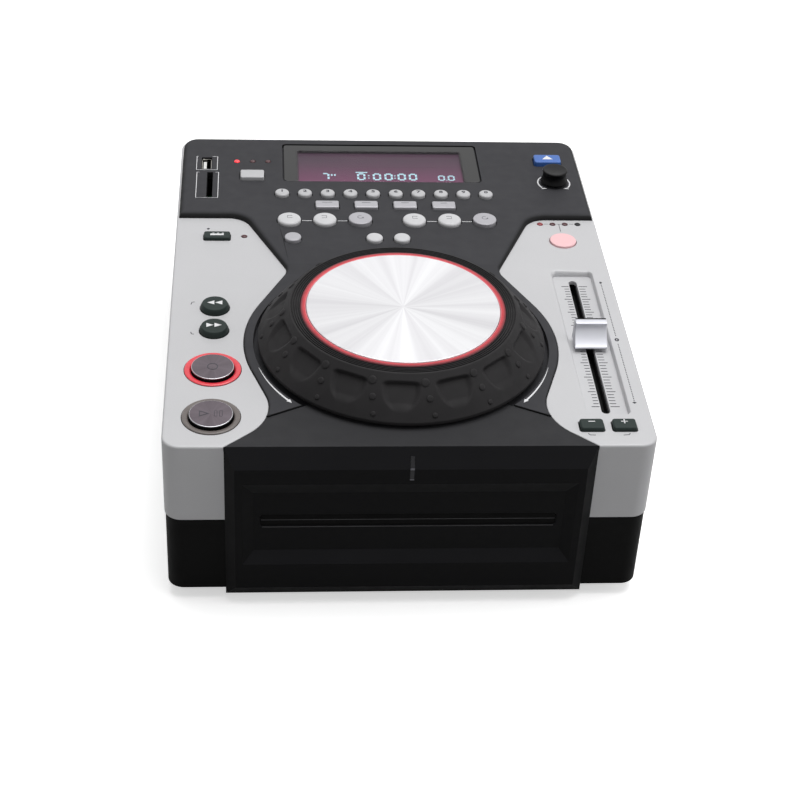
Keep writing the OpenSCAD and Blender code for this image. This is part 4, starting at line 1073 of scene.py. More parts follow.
def wheel_pieces(depth, turn0):
    """Rim with its grooved ring, hollows and knobs, the red ring and the platter."""
    pitch = 2 * math.pi / HOLLOWS
    foot = RIM_R
    slope = math.hypot(SLOPE_RUN, SLOPE_FALL)
    crest = 108.6
    profile = [(47.9, 105.7), (47.9, 108.35), (48.05, 108.55), (48.3, crest)]
    # Four grooves, 1.05 apart and 0.5 deep
    for i in (3, 2, 1, 0):
        x = 52.1 - i * 1.05
        profile += [(x - 0.62, crest), (x - 0.5, 108.1), (x, 108.1), (x + 0.12, crest)]
    profile += [(52.6, crest), (52.95, 108.5), (SLOPE_R, SLOPE_Z)]
    first = len(profile)
    rows = 56
    profile += [slope_point(i / rows) for i in range(1, rows + 1)]
    last = len(profile)
    # Foot, then the hollow underside back to the inner edge
    profile += [(foot, 91.9), (foot, 90.7), (foot - 0.3, 90.4), (foot - 4, 90.4), (52.3, 103.1),
                (14.2, 103.1), (14.2, 105.5), (47.9, 105.6)]
    n = HOLLOWS * 56
    verts, faces = [], []
    tilt = math.atan2(SLOPE_FALL, SLOPE_RUN)
    out = (math.sin(tilt), math.cos(tilt))
    for k, (r, z) in enumerate(profile):
        along = (k - first + 1) / rows * slope if first <= k < last else -1
        for i in range(n):
            a = 2 * math.pi * i / n
            rr, zz = r, z
            if along > 0:
                off = (a - turn0 + pitch / 2) % pitch - pitch / 2
                share = depth * hollow(along, abs(off * r))
                rr -= out[0] * share
                zz -= out[1] * share
            verts.append((rr * math.cos(a) + WHEEL[0], rr * math.sin(a) + WHEEL[1], zz))
    m = len(profile)
    for k in range(m):
        kk = (k + 1) % m
        for i in range(n):
            j = (i + 1) % n
            faces.append([k * n + i, k * n + j, kk * n + j, kk * n + i])
    shape = Shape()
    shape.add(verts, faces)
    # Three flat knobs between each pair of hollows, smaller towards the foot, on a slight swirl
    for i in range(HOLLOWS):
        for r_at, size, lean in ((56.0, 1.95, -1.4), (60.9, 1.55, 0.0), (65.5, 1.2, 1.4)):
            a = turn0 + pitch * (i + 0.5) + math.radians(lean)
            r, z = slope_point((r_at - SLOPE_R) / SLOPE_RUN)
            bead = lathe([(0, -0.5), (size, -0.5), (size, 0.12), (size * 0.93, 0.38), (size * 0.75, 0.52),
                          (size * 0.4, 0.56), (0, 0.57)], 20)
            lean_out = Matrix.Translation((r, 0, z)) @ Matrix.Rotation(tilt, 4, "Y")
            tip = Matrix.Rotation(a, 4, "Z") @ lean_out
            pts = [tip @ Vector(p) for p in bead.verts]
            bead.verts = [(p.x + WHEEL[0], p.y + WHEEL[1], p.z) for p in pts]
            shape.take(bead)
    build("jog_rim_skin", shape, ["soft_touch_rubber"], "jog_rim", sharp=60)
    ring = [(45.2, 105.6), (45.2, 108.5), (45.45, 108.72), (46.0, 108.8), (46.9, 108.8), (47.5, 108.72),
            (47.75, 108.45), (47.8, 105.6)]
    build("jog_ring_skin", lathe(ring, 192, *WHEEL, closed=True), ["acrylic_red"], "jog_ring")
    disc = [(0, 105.6), (45, 105.6), (45, 108.7), (44.85, 108.92), (44.5, 109.0), (43.9, 108.94), (0, 108.8)]
    build("jog_platter_skin", lathe(disc, 192, *WHEEL), ["spun_aluminium"], "jog_platter",
          sharp=50)


def cap_round(size, base, flange_z, edge, dome=0.0, cone=0.0):
    """A round key turned from its profile: stem, hidden flange, wall, rounded edge and crown."""
    r, h = size
    low = flange_z - 0.05
    foot = low - 1.2
    pts = [(0, STEM_Z), (2, STEM_Z), (2, foot), (r + 1, foot), (r + 1, low), (r, low), (r, base)]
    top_r = r - cone
    for i in range(6):
        a = math.pi / 2 * i / 5
        pts.append((top_r - edge * (1 - math.cos(a)), base + h - edge * (1 - math.sin(a)) - dome))
    inner = top_r - edge
    for i in range(1, 5):
        t = 1 - i / 5
        pts.append((inner * t, base + h - dome * t * t))
    pts.append((0, base + h))
    return lathe(pts, 48)


def cap_rect(size, base, flange_z, chamfer, corner=1.0):
    """A rectangular key with its chamfered top, hidden flange and stem."""
    w, d, h = size
    low = flange_z - 0.05
    foot = low - 1.2
    shape = Shape()
    shape.take(slab([rrect(0, 0, w, d, corner, 6)], foot, base + h,
                    lambda k, p: (chamfer, chamfer * 0.8), 4))
    shape.take(slab([rrect(0, 0, w + 2, d + 2, 1.0, 3)], foot, low, 0.1, 1))
    shape.take(lathe([(0, STEM_Z), (2, STEM_Z), (2, low - 1.1), (0, low - 1.1)], 20))
    return shape


def key_piece(node, shape, at, mats, marks=(), mark_mat=None):
    """Puts a cap in its place with its printed marks, which take the material after the cap's own."""
    shape.moved(*at)
    for mark in marks:
        shape.take(mark, len(mats))
    finishes = mats + ([mark_mat] if mark_mat else [])
    build(node + "_cap", shape, finishes, node, sharp=45)


def loop_mark(kind, x, d, z):
    """Plain signs for a loop's start, end and restart."""
    if kind < 2:
        way = 1 - 2 * kind
        bracket = [(1.6, -1.1), (-0.9, -1.1), (-0.9, 1.1), (1.6, 1.1)]
        return [stroke([(x + way * a, d + b) for a, b in bracket], 0.38, z)]
    bow = arc(x, d, 1.35, 60, 330, 14)
    tip = polygon([(x + 0.5, d - 1.5), (x + 1.9, d - 1.0), (x + 1.5, d + 0.3)], z)
    return [stroke(bow, 0.34, z), tip]


def deck_keys():
    """The keys in the black deck."""
    digits = "1234567890"
    for digit, x in zip(digits, NUMBER_X):
        cap = cap_round(NUMBER_CAP, DECK_Z, DECK_BASE, 1.0, 0.2)
        mark = glyph(digit, 3.1, x, NUMBER_Y + 0.4, DECK_Z + 1.87, wide=1.3, bold=0.12)
        key_piece("key_" + digit, cap, (x, NUMBER_Y), ["abs_key_pale"], [mark], "ink_dark")
    for i, x in enumerate(FUNCTION_X):
        cap = cap_rect(FUNCTION_CAP, DECK_Z, DECK_BASE, 0.8)
        half, d = 2.6 - 0.3 * i, FUNCTION_Y + 1.2
        mark = stroke([(x - half, d), (x + half, d)], 0.4, DECK_Z + FUNCTION_CAP[2])
        key_piece(f"function_key_{i + 1}", cap, (x, FUNCTION_Y), ["key_silver"],
                  [mark], "ink_grey")
    for i, x in enumerate(LOOP_X):
        mat, edge, dome = (("abs_key_white", 1.3, 0.3), ("abs_key_white", 1.3, 0.3),
                           ("key_silver", 0.6, 0.1))[i % 3]
        cap = cap_round(LOOP_CAP, DECK_Z, DECK_BASE, edge, dome)
        marks = loop_mark(i % 3, x, LOOP_Y + 0.6, DECK_Z + 2.06)
        key_piece(f"loop_key_{i + 1}", cap, (x, LOOP_Y), [mat], marks, "ink_grey")
    for node, x, mat, edge in (("tap_key", SMALL_X[0], "key_silver", 0.7),
                               ("round_key_1", SMALL_X[1], "abs_key_white", 1.1),
                               ("round_key_2", SMALL_X[2], "abs_key_white", 1.1)):
        cap = cap_round(SMALL_CAP, DECK_Z, DECK_BASE, edge, 0.2)
        key_piece(node, cap, (x, SMALL_Y), [mat])
    key_piece("source_key", cap_rect(SOURCE_CAP, DECK_Z, DECK_BASE, 0.8), SOURCE, ["abs_key_pale"])
    x, d = EJECT
    arrow = [(-2.9, -1.3), (2.9, -1.3), (2.2, -0.2), (0, 2.6), (-2.2, -0.2)]
    mark = polygon([(x + a, d + b) for a, b in arrow], DECK_Z + EJECT_CAP[2])
    key_piece("eject_key", cap_rect(EJECT_CAP, DECK_Z, DECK_BASE, 0.9, 1.4), EJECT, ["abs_blue"],
              [mark], "ink_white")


def disc_button(node, at, finish, marks):
    """Cue or play: a black stem under a turned metal disc with a bright edge."""
    r, z = DISC_R, DISC_TOP
    cap = cap_round(DISC_STEM, TOP_Z - 0.6, PANEL_UNDER, 0.2)
    cap.mats = [1] * len(cap.faces)
    cap.take(lathe([(0, z - 0.85), (r - 0.15, z - 0.85), (r, z - 0.7), (r, z - 0.25)], 96))
    cap.take(lathe([(r, z - 0.25), (r - 0.04, z - 0.1), (r - 0.25, z)], 96), 2)
    cap.take(lathe([(r - 0.25, z), (0, z)], 96))
    key_piece(node, cap, at, [finish, "black_plastic_and_gap_shade", "bright_steel"], marks, "ink_dark")


def case_keys():
    """The keys and buttons in the silver case."""
    x, d = MODE
    z = TOP_Z + MODE_CAP[2]
    marks = [stroke([(x - 3.4, d - 0.2), (x + 3.4, d - 0.2)], 1.5, z)]
    for left in (x - 2.4, x, x + 2.4):
        marks.append(stroke([(left, d + 1.1), (left + 1.0, d + 1.1)], 0.5, z))
    key_piece("jog_mode_key", cap_rect(MODE_CAP, TOP_Z, PANEL_UNDER, 0.6), MODE, ["key_rubber"],
              marks, "ink_white")
    base = TOP_Z + 1.2
    for node, d, way in (("search_back_key", SEARCH_FAR, -1), ("search_fwd_key", SEARCH_NEAR, 1)):
        marks = []
        for x in (SEARCH_X - 1.9, SEARCH_X + 1.9):
            tail, tip = x - way * 1.7, x + way * 1.7
            marks.append(polygon([(tail, d - 1.2), (tip, d + 0.5), (tail, d + 2.2)], base + SEARCH_CAP[1]))
        cap = cap_round(SEARCH_CAP, base, PANEL_UNDER, 0.5, 0.0, 0.6)
        key_piece(node, cap, (SEARCH_X, d), ["key_rubber"], marks, "ink_white")
    x, d = CUE
    disc_button("cue_button", CUE, "spun_disc_cue", [outline(circle(x, d, 2.5, 32), 0.4, DISC_TOP)])
    x, d = PLAY
    marks = [outline([(x - 5.2, d - 2.1), (x - 5.2, d + 2.1), (x - 0.7, d)], 0.42, DISC_TOP)]
    for a in (x + 1.5, x + 3.8):
        bar = [(a, d - 2), (a + 1.2, d - 2), (a + 1.2, d + 2), (a, d + 2), (a, d - 1.8)]
        marks.append(stroke(bar, 0.26, DISC_TOP))
    disc_button("play_button", PLAY, "spun_disc_play", marks)
    key_piece("pitch_button", cap_round(PITCH_CAP, TOP_Z, PANEL_UNDER, 0.4, 0.12), PITCH, ["cap_pink"])
    z = TOP_Z + NUDGE_CAP[2]
    for node, at in (("pitch_minus_key", NUDGE[0]), ("pitch_plus_key", NUDGE[1])):
        x, d = at
        marks = [stroke([(x - 1.5, d + 1.2), (x + 1.5, d + 1.2)], 0.5, z)]
        if node == "pitch_plus_key":
            marks.append(stroke([(x, d - 0.3), (x, d + 2.7)], 0.5, z))
        key_piece(node, cap_rect(NUDGE_CAP, TOP_Z, PANEL_UNDER, 0.8, 1.2), at, ["key_rubber"],
                  marks, "ink_white")


def slider_pieces():
    """Cap of the pitch slider with its carriage post and the line across its top."""
    low, high = TOP_Z - 0.9, TOP_Z + 9.7
    back, face = CAP_Y + 5.3, CAP_Y - 5.3
    profile = [(face, low), (back, low), (back - 0.35, high - 0.5), (back - 0.5, high - 0.1),
               (back - 0.9, high + 0.15), (back - 2.6, high + 0.28), (back - 4.0, high + 0.22),
               (back - 4.5, high + 0.05)]
    # The finger face: one hollow curve from under the top band down to the foot
    x0, z0 = back - 4.8, high - 0.3
    x1, z1 = face + 0.45, low + 0.95
    for i in range(17):
        t = i / 16
        sag = 2.5 * math.sin(math.pi * t) ** 0.9
        profile.append((x0 + (x1 - x0) * t ** 1.15 + sag * 0.78, z0 + (z1 - z0) * t + sag * 0.10))
    profile += [(face + 0.2, low + 0.85), (face + 0.05, low + 0.6)]
    half = 7.8
    shape = prism(profile, FADER_X - half, FADER_X + half, 0.3)
    # It narrows a little towards its top
    lean = 0.3 / (high - low)
    shape.verts = [(FADER_X + (x - FADER_X) * (1 - lean * (z - low) / half), d, z)
                   for x, d, z in shape.verts]
    x = FADER_X
    shape.take(box(x - 1, x + 1, CAP_Y - 3, CAP_Y + 3, 80, low + 0.5, 0.1), 1)
    shape.take(box(x - 7.3, x + 7.3, back - 1.6, back - 0.8, high - 0.3, high + 0.29, 0.03), 1)
    build("fader_cap_skin", shape, ["cap_silver", "black_plastic_and_gap_shade"], "fader_cap", sharp=32)


def selector_pieces():
    """Selector knob: flared foot, waisted neck with fine ribs, dished top."""
    low = DECK_Z + 1.2
    foot = [(3.05, 0), (7.1, 0), (7.3, 0.25), (7.2, 0.8), (6.75, 1.7), (6.4, 2.8)]
    neck = [(6.25, 4.0), (6.3, 5.0), (6.45, 5.6), (6.65, 6.1), (6.7, 6.5)]
    top = [(6.6, 6.85), (6.3, 7.05), (5.8, 7.1), (5.2, 6.95), (3.0, 6.6), (0, 6.5)]
    bore = [(0, 4.2), (3.05, 4.2)]
    shape = lathe([(r, low + h) for r, h in foot + neck + top + bore], 96, closed=True)
    ribs, rib_depth = 48, 0.010
    for i, (a, b, h) in enumerate(shape.verts):
        r = math.hypot(a, b)
        if r > 6.0 and low + 2.4 < h < low + 5.7:
            k = 1 - rib_depth * (0.5 + 0.5 * math.cos(ribs * math.atan2(b, a)))
            shape.verts[i] = (a * k, b * k, h)
    build("select_knob_skin", shape.moved(*KNOB), ["abs_knob"], "select_knob", sharp=50)


def seven(code, x, d, z, w, h, t):
    """One display digit drawn with bars; code names the lit bars a to f, clockwise from the top."""
    bars = {"a": ((0, h), (w, h)), "b": ((w, h), (w, h / 2)), "c": ((w, h / 2), (w, 0)),
            "d": ((0, 0), (w, 0)), "e": ((0, 0), (0, h / 2)), "f": ((0, h / 2), (0, h))}
    shape = Shape()
    gap = t * 0.38
    for c in code:
        (xa, da), (xb, db) = bars[c]
        l = math.hypot(xb - xa, db - da)
        gx, gd = (xb - xa) / l * gap, (db - da) / l * gap
        ends = [(x + xa + gx, d + da + gd), (x + xb - gx, d + db - gd)]
        shape.take(stroke(ends, t, z, 0.05))
    return shape


def display_pieces():
    """Smoked pane, and behind it the display's can, its glass and its lit digits."""
    x0, x1, d0, d1 = WINDOW
    plan = rrect((x0 + x1) / 2, (d0 + d1) / 2, x1 - x0 - 1.5, d1 - d0 - 1.5, 1.6)
    pane = slab([plan], DECK_Z - 1.8, DECK_Z - 0.3, 0.2, 3)
    build("display_pane", pane, ["smoked_acrylic"], "display_window")
    shape = box(KEY_CX - 50, KEY_CX + 50, 229, 262, 77.6, 88.6, 0.4)
    shape.mats = [1] * len(shape.faces)
    shape.take(slab([rrect(-1.3, 244.6, 90, 34.5, 0.4, 2)], 88.5, 89.6, 0.1, 1), 0)
    z = 89.62
    lit = Shape()
    row, h, t = 232.3, 6.2, 1.1
    zero = "abcdef"
    lit.take(seven("abc", -32.6, row, z, 3.2, h, t))
    for x in (-27.6, -25.9):
        lit.take(stroke([(x, row + 3.9), (x, row + 5.6)], 0.9, z, 0.05))
    for code, x in ((zero, -13.4), (zero, -4.9), (zero, 1.4), (zero, 8.5), (zero, 14.6)):
        lit.take(seven(code, x, row, z, 3.4, h, t))
    for x in (-7.6, 6.5):
        for d in (row + 1.7, row + 4.3):
            lit.take(stroke([(x - 0.4, d), (x + 0.4, d)], 0.8, z, 0.05))
    lit.take(stroke([(-14.6, row + h + 1.6), (-8.2, row + h + 1.6)], 0.9, z, 0.05))
    for x in (30.3, 35.6):
        lit.take(seven(zero, x, row, z, 2.9, 4.6, 0.85))
    lit.take(stroke([(34.3, row), (34.8, row)], 0.7, z, 0.05))
    faint = Shape()
    for i in range(30):
        x = -43 + i * 2.9
        faint.take(stroke([(x, 246.2), (x + 1.9, 246.2)], 0.22, z, 0.03))
    shape.take(lit, 2)
    shape.take(faint, 3)
    mats = ["display_field", "zinc_sheet", "phosphor", "ink_grey"]
    build("display_field_panel", shape, mats, "display_module")


def lamp_pieces():
    """Light rings, lamp lenses and the marker bar: one set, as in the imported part."""
    shape = Shape()
    z = TOP_Z
    ring = [(10.15, 86.2), (12.2, 86.2), (12.2, z), (13, z), (13, z + 0.3), (12.75, z + 0.55),
            (12.2, z + 0.6), (11.2, z + 0.5), (10.5, z + 0.25), (10.15, z - 0.2)]
    shape.take(lathe(ring, 96, *CUE, closed=True), 0)
    shape.take(lathe(ring, 96, *PLAY, closed=True), 1)
    # Painted shade: a thin black band on the case round each ring, for the shaded gap at its edge
    gap = [(12.9, z - 0.1), (13.25, z - 0.1), (13.25, z + 0.06), (12.9, z + 0.06)]
    for spot in (CUE, PLAY):
        shape.take(lathe(gap, 96, *spot, closed=True), 7)

    def lens(x, d, base, top, mat):
        pts = [(0, base), (1.5, base), (1.5, top - 0.35), (1.3, top - 0.1), (0.8, top + 0.05), (0, top + 0.1)]
        shape.take(lathe(pts, 20, x, d), mat)

    for i, (x, d) in enumerate(DECK_LAMPS):
        lens(x, d, 85.75, DECK_Z + 0.3, 2 if i == 0 else 3)
    lens(*LEFT_LAMP, 84.2, TOP_Z + 0.3, 3)
    for i, (x, d) in enumerate(RIGHT_LAMPS):
        lens(x, d, 84.2, TOP_Z + 0.3, (5, 3, 3, 4)[i])
    # Marker bar: it follows the bezel's slope, bends at the front face and ends in a bright foot
    bar = [(0.8, 72.9), (0.8, 84.6), (-1.95, 84.6), (-4.1, 79.5), (-4.17, 79.2), (-4.17, 73.6),
           (-3.9, 72.9)]
    shape.take(prism(bar, -1.0, 1.0, 0.2), 4)
    shape.take(box(-0.95, 0.95, -4.2, -4.0, 73.1, 73.7, 0.05), 6)
    shape.take(box(-0.95, 0.95, -4.2, -3.9, 78.7, 79.6, 0.05), 6)
    mats = ["ring_lit", "ring_clear", "lamp_lit", "lens_dark", "lens_smoke", "lamp_low", "ink_grey",
            "black_plastic_and_gap_shade"]
    build("light_pipe_set", shape, mats, "light_pipes", sharp=45)


def mark_pieces(lift):
    """Printed line work: frames round the sockets, scales, arrows and links."""
    deck = DECK_Z + lift
    lip = LIP_Z + lift
    top = TOP_Z + lift
    white, dark = Shape(), Shape()
    # Frames round the two sockets, open at the top
    for x0, x1, d0, d1, a, b in ((-100.2, -89.1, 237.9, 252.6, -99.4, -91.8),
                                 (-99.8, -88.3, 208.3, 235.3, -98.6, -89.8)):
        white.take(stroke([(a, d1), (x0, d1), (x0, d0), (x1, d0), (x1, d1), (b, d1)], 0.34, deck))
    for a, b in ((0, 1), (1, 2), (3, 4), (4, 5)):
        white.take(stroke([(LOOP_X[a] + 6.6, LOOP_Y), (LOOP_X[b] - 6.6, LOOP_Y)], 0.36, deck))
    for side in (1, -1):
        a0, a1 = (125, 222) if side > 0 else (50, -42)
        ends = arc(*KNOB, 8.6, a0, a1, 24)
        white.take(stroke(ends, [0.35 + 0.4 * min(1, i / 8) for i in range(25)], deck))
        ex, ed = ends[-1]
        head = [(ex - side * 0.6, ed + 0.9), (ex + side * 1.9, ed - 0.5), (ex - side * 0.9, ed - 0.9)]
        white.take(polygon(head, deck))
    white.take(polygon(circle(88.2, 241.5, 0.6, 14), deck))
    # Turn arrows on the wheel surround
    path, widths = [], []
    for i in range(19):
        t = i / 18
        path.append(arc(*WHEEL, WELL_R + 1.0 + 1.0 * t, 198.0 + 23.0 * t, 360, 1)[0])
        widths.append(0.12 + 0.75 * t ** 0.8)
    (ax, ad), (bx, bd) = path[-2:]
    l = math.hypot(bx - ax, bd - ad)
    ux, ud = (bx - ax) / l, (bd - ad) / l
    wide, long = 1.05, 2.6
    head = [(bx - ud * wide, bd + ux * wide), (bx + ud * wide, bd - ux * wide),
            (bx + ux * long, bd + ud * long)]
    for flip in (1, -1):
        white.take(stroke([(flip * x, d) for x, d in path], widths, lip))
        white.take(polygon([(flip * x, d) for x, d in head], lip))
    # Slider scale in the recess
    low = TOP_Z - 3 + lift
    for end, way in ((32.6, 1), (132.9, -1)):
        for i in range(22):
            d = end + way * 2.3 * i
            out = 1.2 if i % 5 == 0 else 0.0
            dark.take(stroke([(84.9 - out, d), (87.3, d)], 0.42, low))
            dark.take(stroke([(92.4, d), (95.4 + out, d)], 0.42, low))
    dark.take(stroke([(83.7, FADER_Y), (87.3, FADER_Y)], 0.3, low))
    dark.take(stroke([(92.4, FADER_Y), (96.6, FADER_Y)], 0.3, low))
    for start, end in ((33.4, 78.0), (85.4, 131.0)):
        count = int((end - start) / 1.35)
        for i in range(count + 1):
            d = start + (end - start) * i / count
            dark.take(stroke([(103.0, d - 0.34), (103.0, d + 0.34)], 0.42, top))
    dark.take(polygon([(102.6, 132.9), (103.8, 132.2), (103.2, 131.2), (102.3, 131.3)], top))
    dark.take(polygon([(102.9, 32.4), (103.9, 31.6), (102.9, 30.8), (101.9, 31.6)], top))
    dark.take(glyph("0", 3.2, 103.0, 81.7, top, wide=1.25, bold=0.16))
    # Brackets beside the search keys and under the pitch keys
    dark.take(stroke([(-97.6, 113.6), (-98.9, 113.2), (-99.3, 111.4)], 0.4, top))
    dark.take(stroke([(-97.2, 86.0), (-98.3, 86.3), (-98.7, 87.9)], 0.4, top))
    dark.take(stroke([(78.3, 8.9), (79.0, 7.8), (81.5, 7.6)], 0.36, top))
    dark.take(stroke([(93.9, 7.6), (96.4, 7.8), (97.1, 8.9)], 0.36, top))
    # Lamp row: the line to the pitch button, links between lamps, and two dots by the mode key
    dark.take(stroke([(89.6, 188.4), (89.6, 181.0)], 0.3, top))
    for a, b in ((0, 1), (1, 2), (2, 3)):
        xa, xb = RIGHT_LAMPS[a][0] + 2.2, RIGHT_LAMPS[b][0] - 2.2
        dark.take(stroke([(xa, 188.4), (xb, 188.4)], 0.28, top))
    for x, d in ((-92.6, 181.6), (-92.6, 178.4)):
        dark.take(polygon(circle(x, d, 0.75, 14), top))
    build("print_white", white, ["ink_white"], body="base", sharp=60)
    build("print_dark", dark, ["ink_dark"], body="base", sharp=60)


def socket_pieces():
    """Mouth of the stick socket in the deck: metal shell edge and tongue."""
    x, d = USB
    shell = Shape()
    shell.take(slab([rrect(x, d, 5.1, 12.1, 0.3, 2), rrect(x, d, 4.5, 11.5, 0.2, 2)], 88.45, 90.7, 0.05, 1))
    build("usb_shell_edge", shell, ["nickel"], body="base")
    tongue = box(x - 1.75, x - 0.1, d - 5.6, d + 3.4, 88.45, 90.4, 0.1)
    build("usb_tongue", tongue, ["socket_white"], body="base")


def rear_pieces():
    """Row of rear sockets: three with coloured collars and one with a plain nut."""
    z = 27.0
    shape = Shape()
    shape.take(box(12, 88, 250, 272.7, 15.6, 34, 0.6), 0)
    for i, x in enumerate((22, 38, 58)):
        barrel = [(0, 272), (4.15, 272), (4.15, 283.9), (3.95, 284.2), (3.65, 284.2), (3.55, 283.9),
                  (3.55, 274.5), (0, 274.5)]
        shape.take(lathe(barrel, 40, x, 0, z, "D"), 1)
        collar = [(4.2, 275.6), (6.2, 275.6), (6.2, 276.4), (5.9, 276.8), (4.2, 276.8)]
        shape.take(lathe(collar, 40, x, 0, z, "D", True), 2 + i)
        pin = [(0.0, 274.5), (1.7, 274.5), (1.7, 279.2), (1.5, 279.6), (0, 279.8)]
        shape.take(lathe(pin, 24, x, 0, z, "D"), 5)
    nut = [(1.8, 266), (3.6, 266), (3.6, 277.6), (3.3, 278), (2.1, 278), (1.8, 277.7)]
    shape.take(lathe(nut, 32, 78, 0, z, "D", True), 1)
    mats = ["black_plastic_and_gap_shade", "nickel", "jack_red", "socket_white", "jack_orange", "socket_white"]
    build("rear_jack_row", shape, mats, "rear_jacks", sharp=40)


def finish_frame():
    """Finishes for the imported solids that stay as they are."""
    plain = {
        "bottom_case": "abs_case", "case_screws": "bright_steel", "rubber_feet": "foot_rubber",
        "jog_hub": "bright_steel", "jog_bearing": "sintered_brass", "knob_plunger": "bright_steel",
        "fader_track": "black_steel", "control_board": "solder_mask_and_sockets", "main_board": "solder_mask",
        "power_supply": "abs_case", "loader_frame": "black_steel", "feed_roller": "foot_rubber",
        "spindle_hub": "abs_knob", "laser_sled": "cast_aluminium", "power_rocker": "abs_knob",
    }
    for node, mat in plain.items():
        obj = NODES[node]
        obj.data.materials.clear()
        obj.data.materials.append(MATERIALS[mat])
    for node, width in (("bottom_case", 0.5), ("rubber_feet", 0.8), ("power_supply", 0.5),
                        ("power_rocker", 0.5)):
        soften(NODES[node], width, 50)


# ---------------------------------------------------------------- stage
def camera():
    """The photograph's view, from the fitted angles."""
    pitch, yaw, roll = (math.radians(a) for a in CAMERA_TURN)
    flat_step = math.cos(pitch)
    look = Vector((math.sin(yaw) * flat_step, math.cos(yaw) * flat_step, -math.sin(pitch)))
    flat = Vector((math.cos(yaw), -math.sin(yaw), 0))
    rise = flat.cross(look)
    right = flat * math.cos(roll) + rise * math.sin(roll)
    up = rise * math.cos(roll) - flat * math.sin(roll)
    data = bpy.data.cameras.new("camera")
    data.lens = LENS
    data.sensor_width = 36
    data.sensor_fit = "HORIZONTAL"
    obj = bpy.data.objects.new("camera", data)
    bpy.context.scene.collection.objects.link(obj)
    rows = [(right[i], up[i], -look[i], CAMERA_SPOT[i]) for i in range(3)]
    obj.matrix_world = Matrix(rows + [(0, 0, 0, 1)])
    bpy.context.scene.camera = obj


def lamp(name, spot, aim, size, power):
    """A white rectangular area light turned towards a point."""
    data = bpy.data.lights.new(name, "AREA")
    data.shape = "RECTANGLE"
    data.size, data.size_y = size
    data.energy = power
    obj = bpy.data.objects.new(name, data)
    bpy.context.scene.collection.objects.link(obj)
    obj.location = spot
    obj.rotation_euler = (Vector(aim) - Vector(spot)).to_track_quat("-Z", "Y").to_euler()


def direct_view(tree):
    """One for rays that show the surroundings: from the camera, in gloss and through clear parts."""
    path = add(tree, "ShaderNodeLightPath")
    gloss = maths(tree, "MAXIMUM", path.outputs["Is Glossy Ray"], path.outputs["Is Transmission Ray"])
    return maths(tree, "MAXIMUM", path.outputs["Is Camera Ray"], gloss)


def stage_pieces(key, sky):
    """White paper floor, even light from all round, a softbox above and a card at the side."""
    tree = blank("floor_paper")
    seen = direct_view(tree)
    where = place(tree)
    grain = spread(tree, noise(tree, where, 220.0, 2.0), 0.0, 1.0)
    pale = blend(tree, grain, srgb("#FBFBFB"), srgb("#FEFEFE"))
    colour = blend(tree, seen, srgb("#969696"), pale)
    camera_ray = add(tree, "ShaderNodeLightPath").outputs["Is Camera Ray"]
    lift = maths(tree, "MULTIPLY", camera_ray, FLOOR_LIFT)
    surface(tree, {"Base Color": colour, "Roughness": 0.9, "Specular IOR Level": 0.1,
                   "Emission Color": pale, "Emission Strength": lift})
    n = 24
    ticks = [FLOOR_HALF * (2 * i / n - 1) for i in range(n + 1)]
    verts = [(x, y, 0.0) for y in ticks for x in ticks]
    corners = [j * (n + 1) + i for j in range(n) for i in range(n)]
    faces = [[c, c + 1, c + n + 2, c + n + 1] for c in corners]
    mesh = bpy.data.meshes.new("floor")
    mesh.from_pydata(verts, [], faces)
    mesh.materials.append(MATERIALS["floor_paper"])
    floor = bpy.data.objects.new("floor", mesh)
    bpy.context.scene.collection.objects.link(floor)
    world = bpy.data.worlds.new("studio")
    bpy.context.scene.world = world
    world.use_nodes = True
    tree = world.node_tree
    tree.nodes.clear()
    path = direct_view(tree)
    white = srgb("#FFFFFF")
    dim = add(tree, "ShaderNodeBackground", None, {"Color": white, "Strength": sky}).outputs[0]
    bright = add(tree, "ShaderNodeBackground", None, {"Color": white, "Strength": 1.0}).outputs[0]
    mixed = add(tree, "ShaderNodeMixShader", None, {0: path, 1: dim, 2: bright}).outputs[0]
    add(tree, "ShaderNodeOutputWorld", None, {"Surface": mixed})
    lamp("softbox", (0.15, 0.12, 1.4), (0, 0.0, 0.05), (1.3, 1.0), key)
    lamp("side_card", (1.3, -0.2, 0.7), (0, 0, 0.05), (0.8, 0.8), key * 0.18)
    bpy.context.scene.view_settings.view_transform = "Standard"
    camera()


# ---------------------------------------------------------------- add-on
class PlayerSettings(bpy.types.PropertyGroup):
    deck_round: bpy.props.FloatProperty(
        name="Deck edge", description="Rounding of the deck's edge in millimetres",
        default=3.3, min=1, max=5, unit="NONE")
    lip_round: bpy.props.FloatProperty(
        name="Surround edge", description="Rounding of the wheel surround's edge in millimetres",
        default=1.7, min=0.5, max=3, unit="NONE")
    dimple_depth: bpy.props.FloatProperty(
        name="Hollow depth", description="Depth of the finger hollows in millimetres",
        default=2.4, min=1, max=3.5, unit="NONE")
    wheel_turn: bpy.props.FloatProperty(
        name="Wheel turn", description="Angle of the first finger hollow",
        default=math.radians(265.8), unit="ROTATION", subtype="ANGLE")
    print_lift: bpy.props.FloatProperty(
        name="Print lift", description="Height of the printing over its surface in millimetres",
        default=0.02, min=0, max=0.1, unit="NONE")
    key_power: bpy.props.FloatProperty(
        name="Softbox", description="Power of the softbox in watts", default=16.0, min=1, unit="NONE")
    sky: bpy.props.FloatProperty(
        name="Sky", description="Strength of the even light", default=0.28, min=0, unit="NONE")


class PLAYER_OT_materials(bpy.types.Operator):
    """Make the finishes"""
    bl_idname = "player.materials"
    bl_label = "Materials"

    def execute(self, context):
        make_materials()
        return {"FINISHED"}


class PLAYER_OT_case(bpy.types.Operator):
    """Build the silver upper case"""
    bl_idname = "player.case"
    bl_label = "Case"

    def execute(self, context):
        case_pieces()
        return {"FINISHED"}


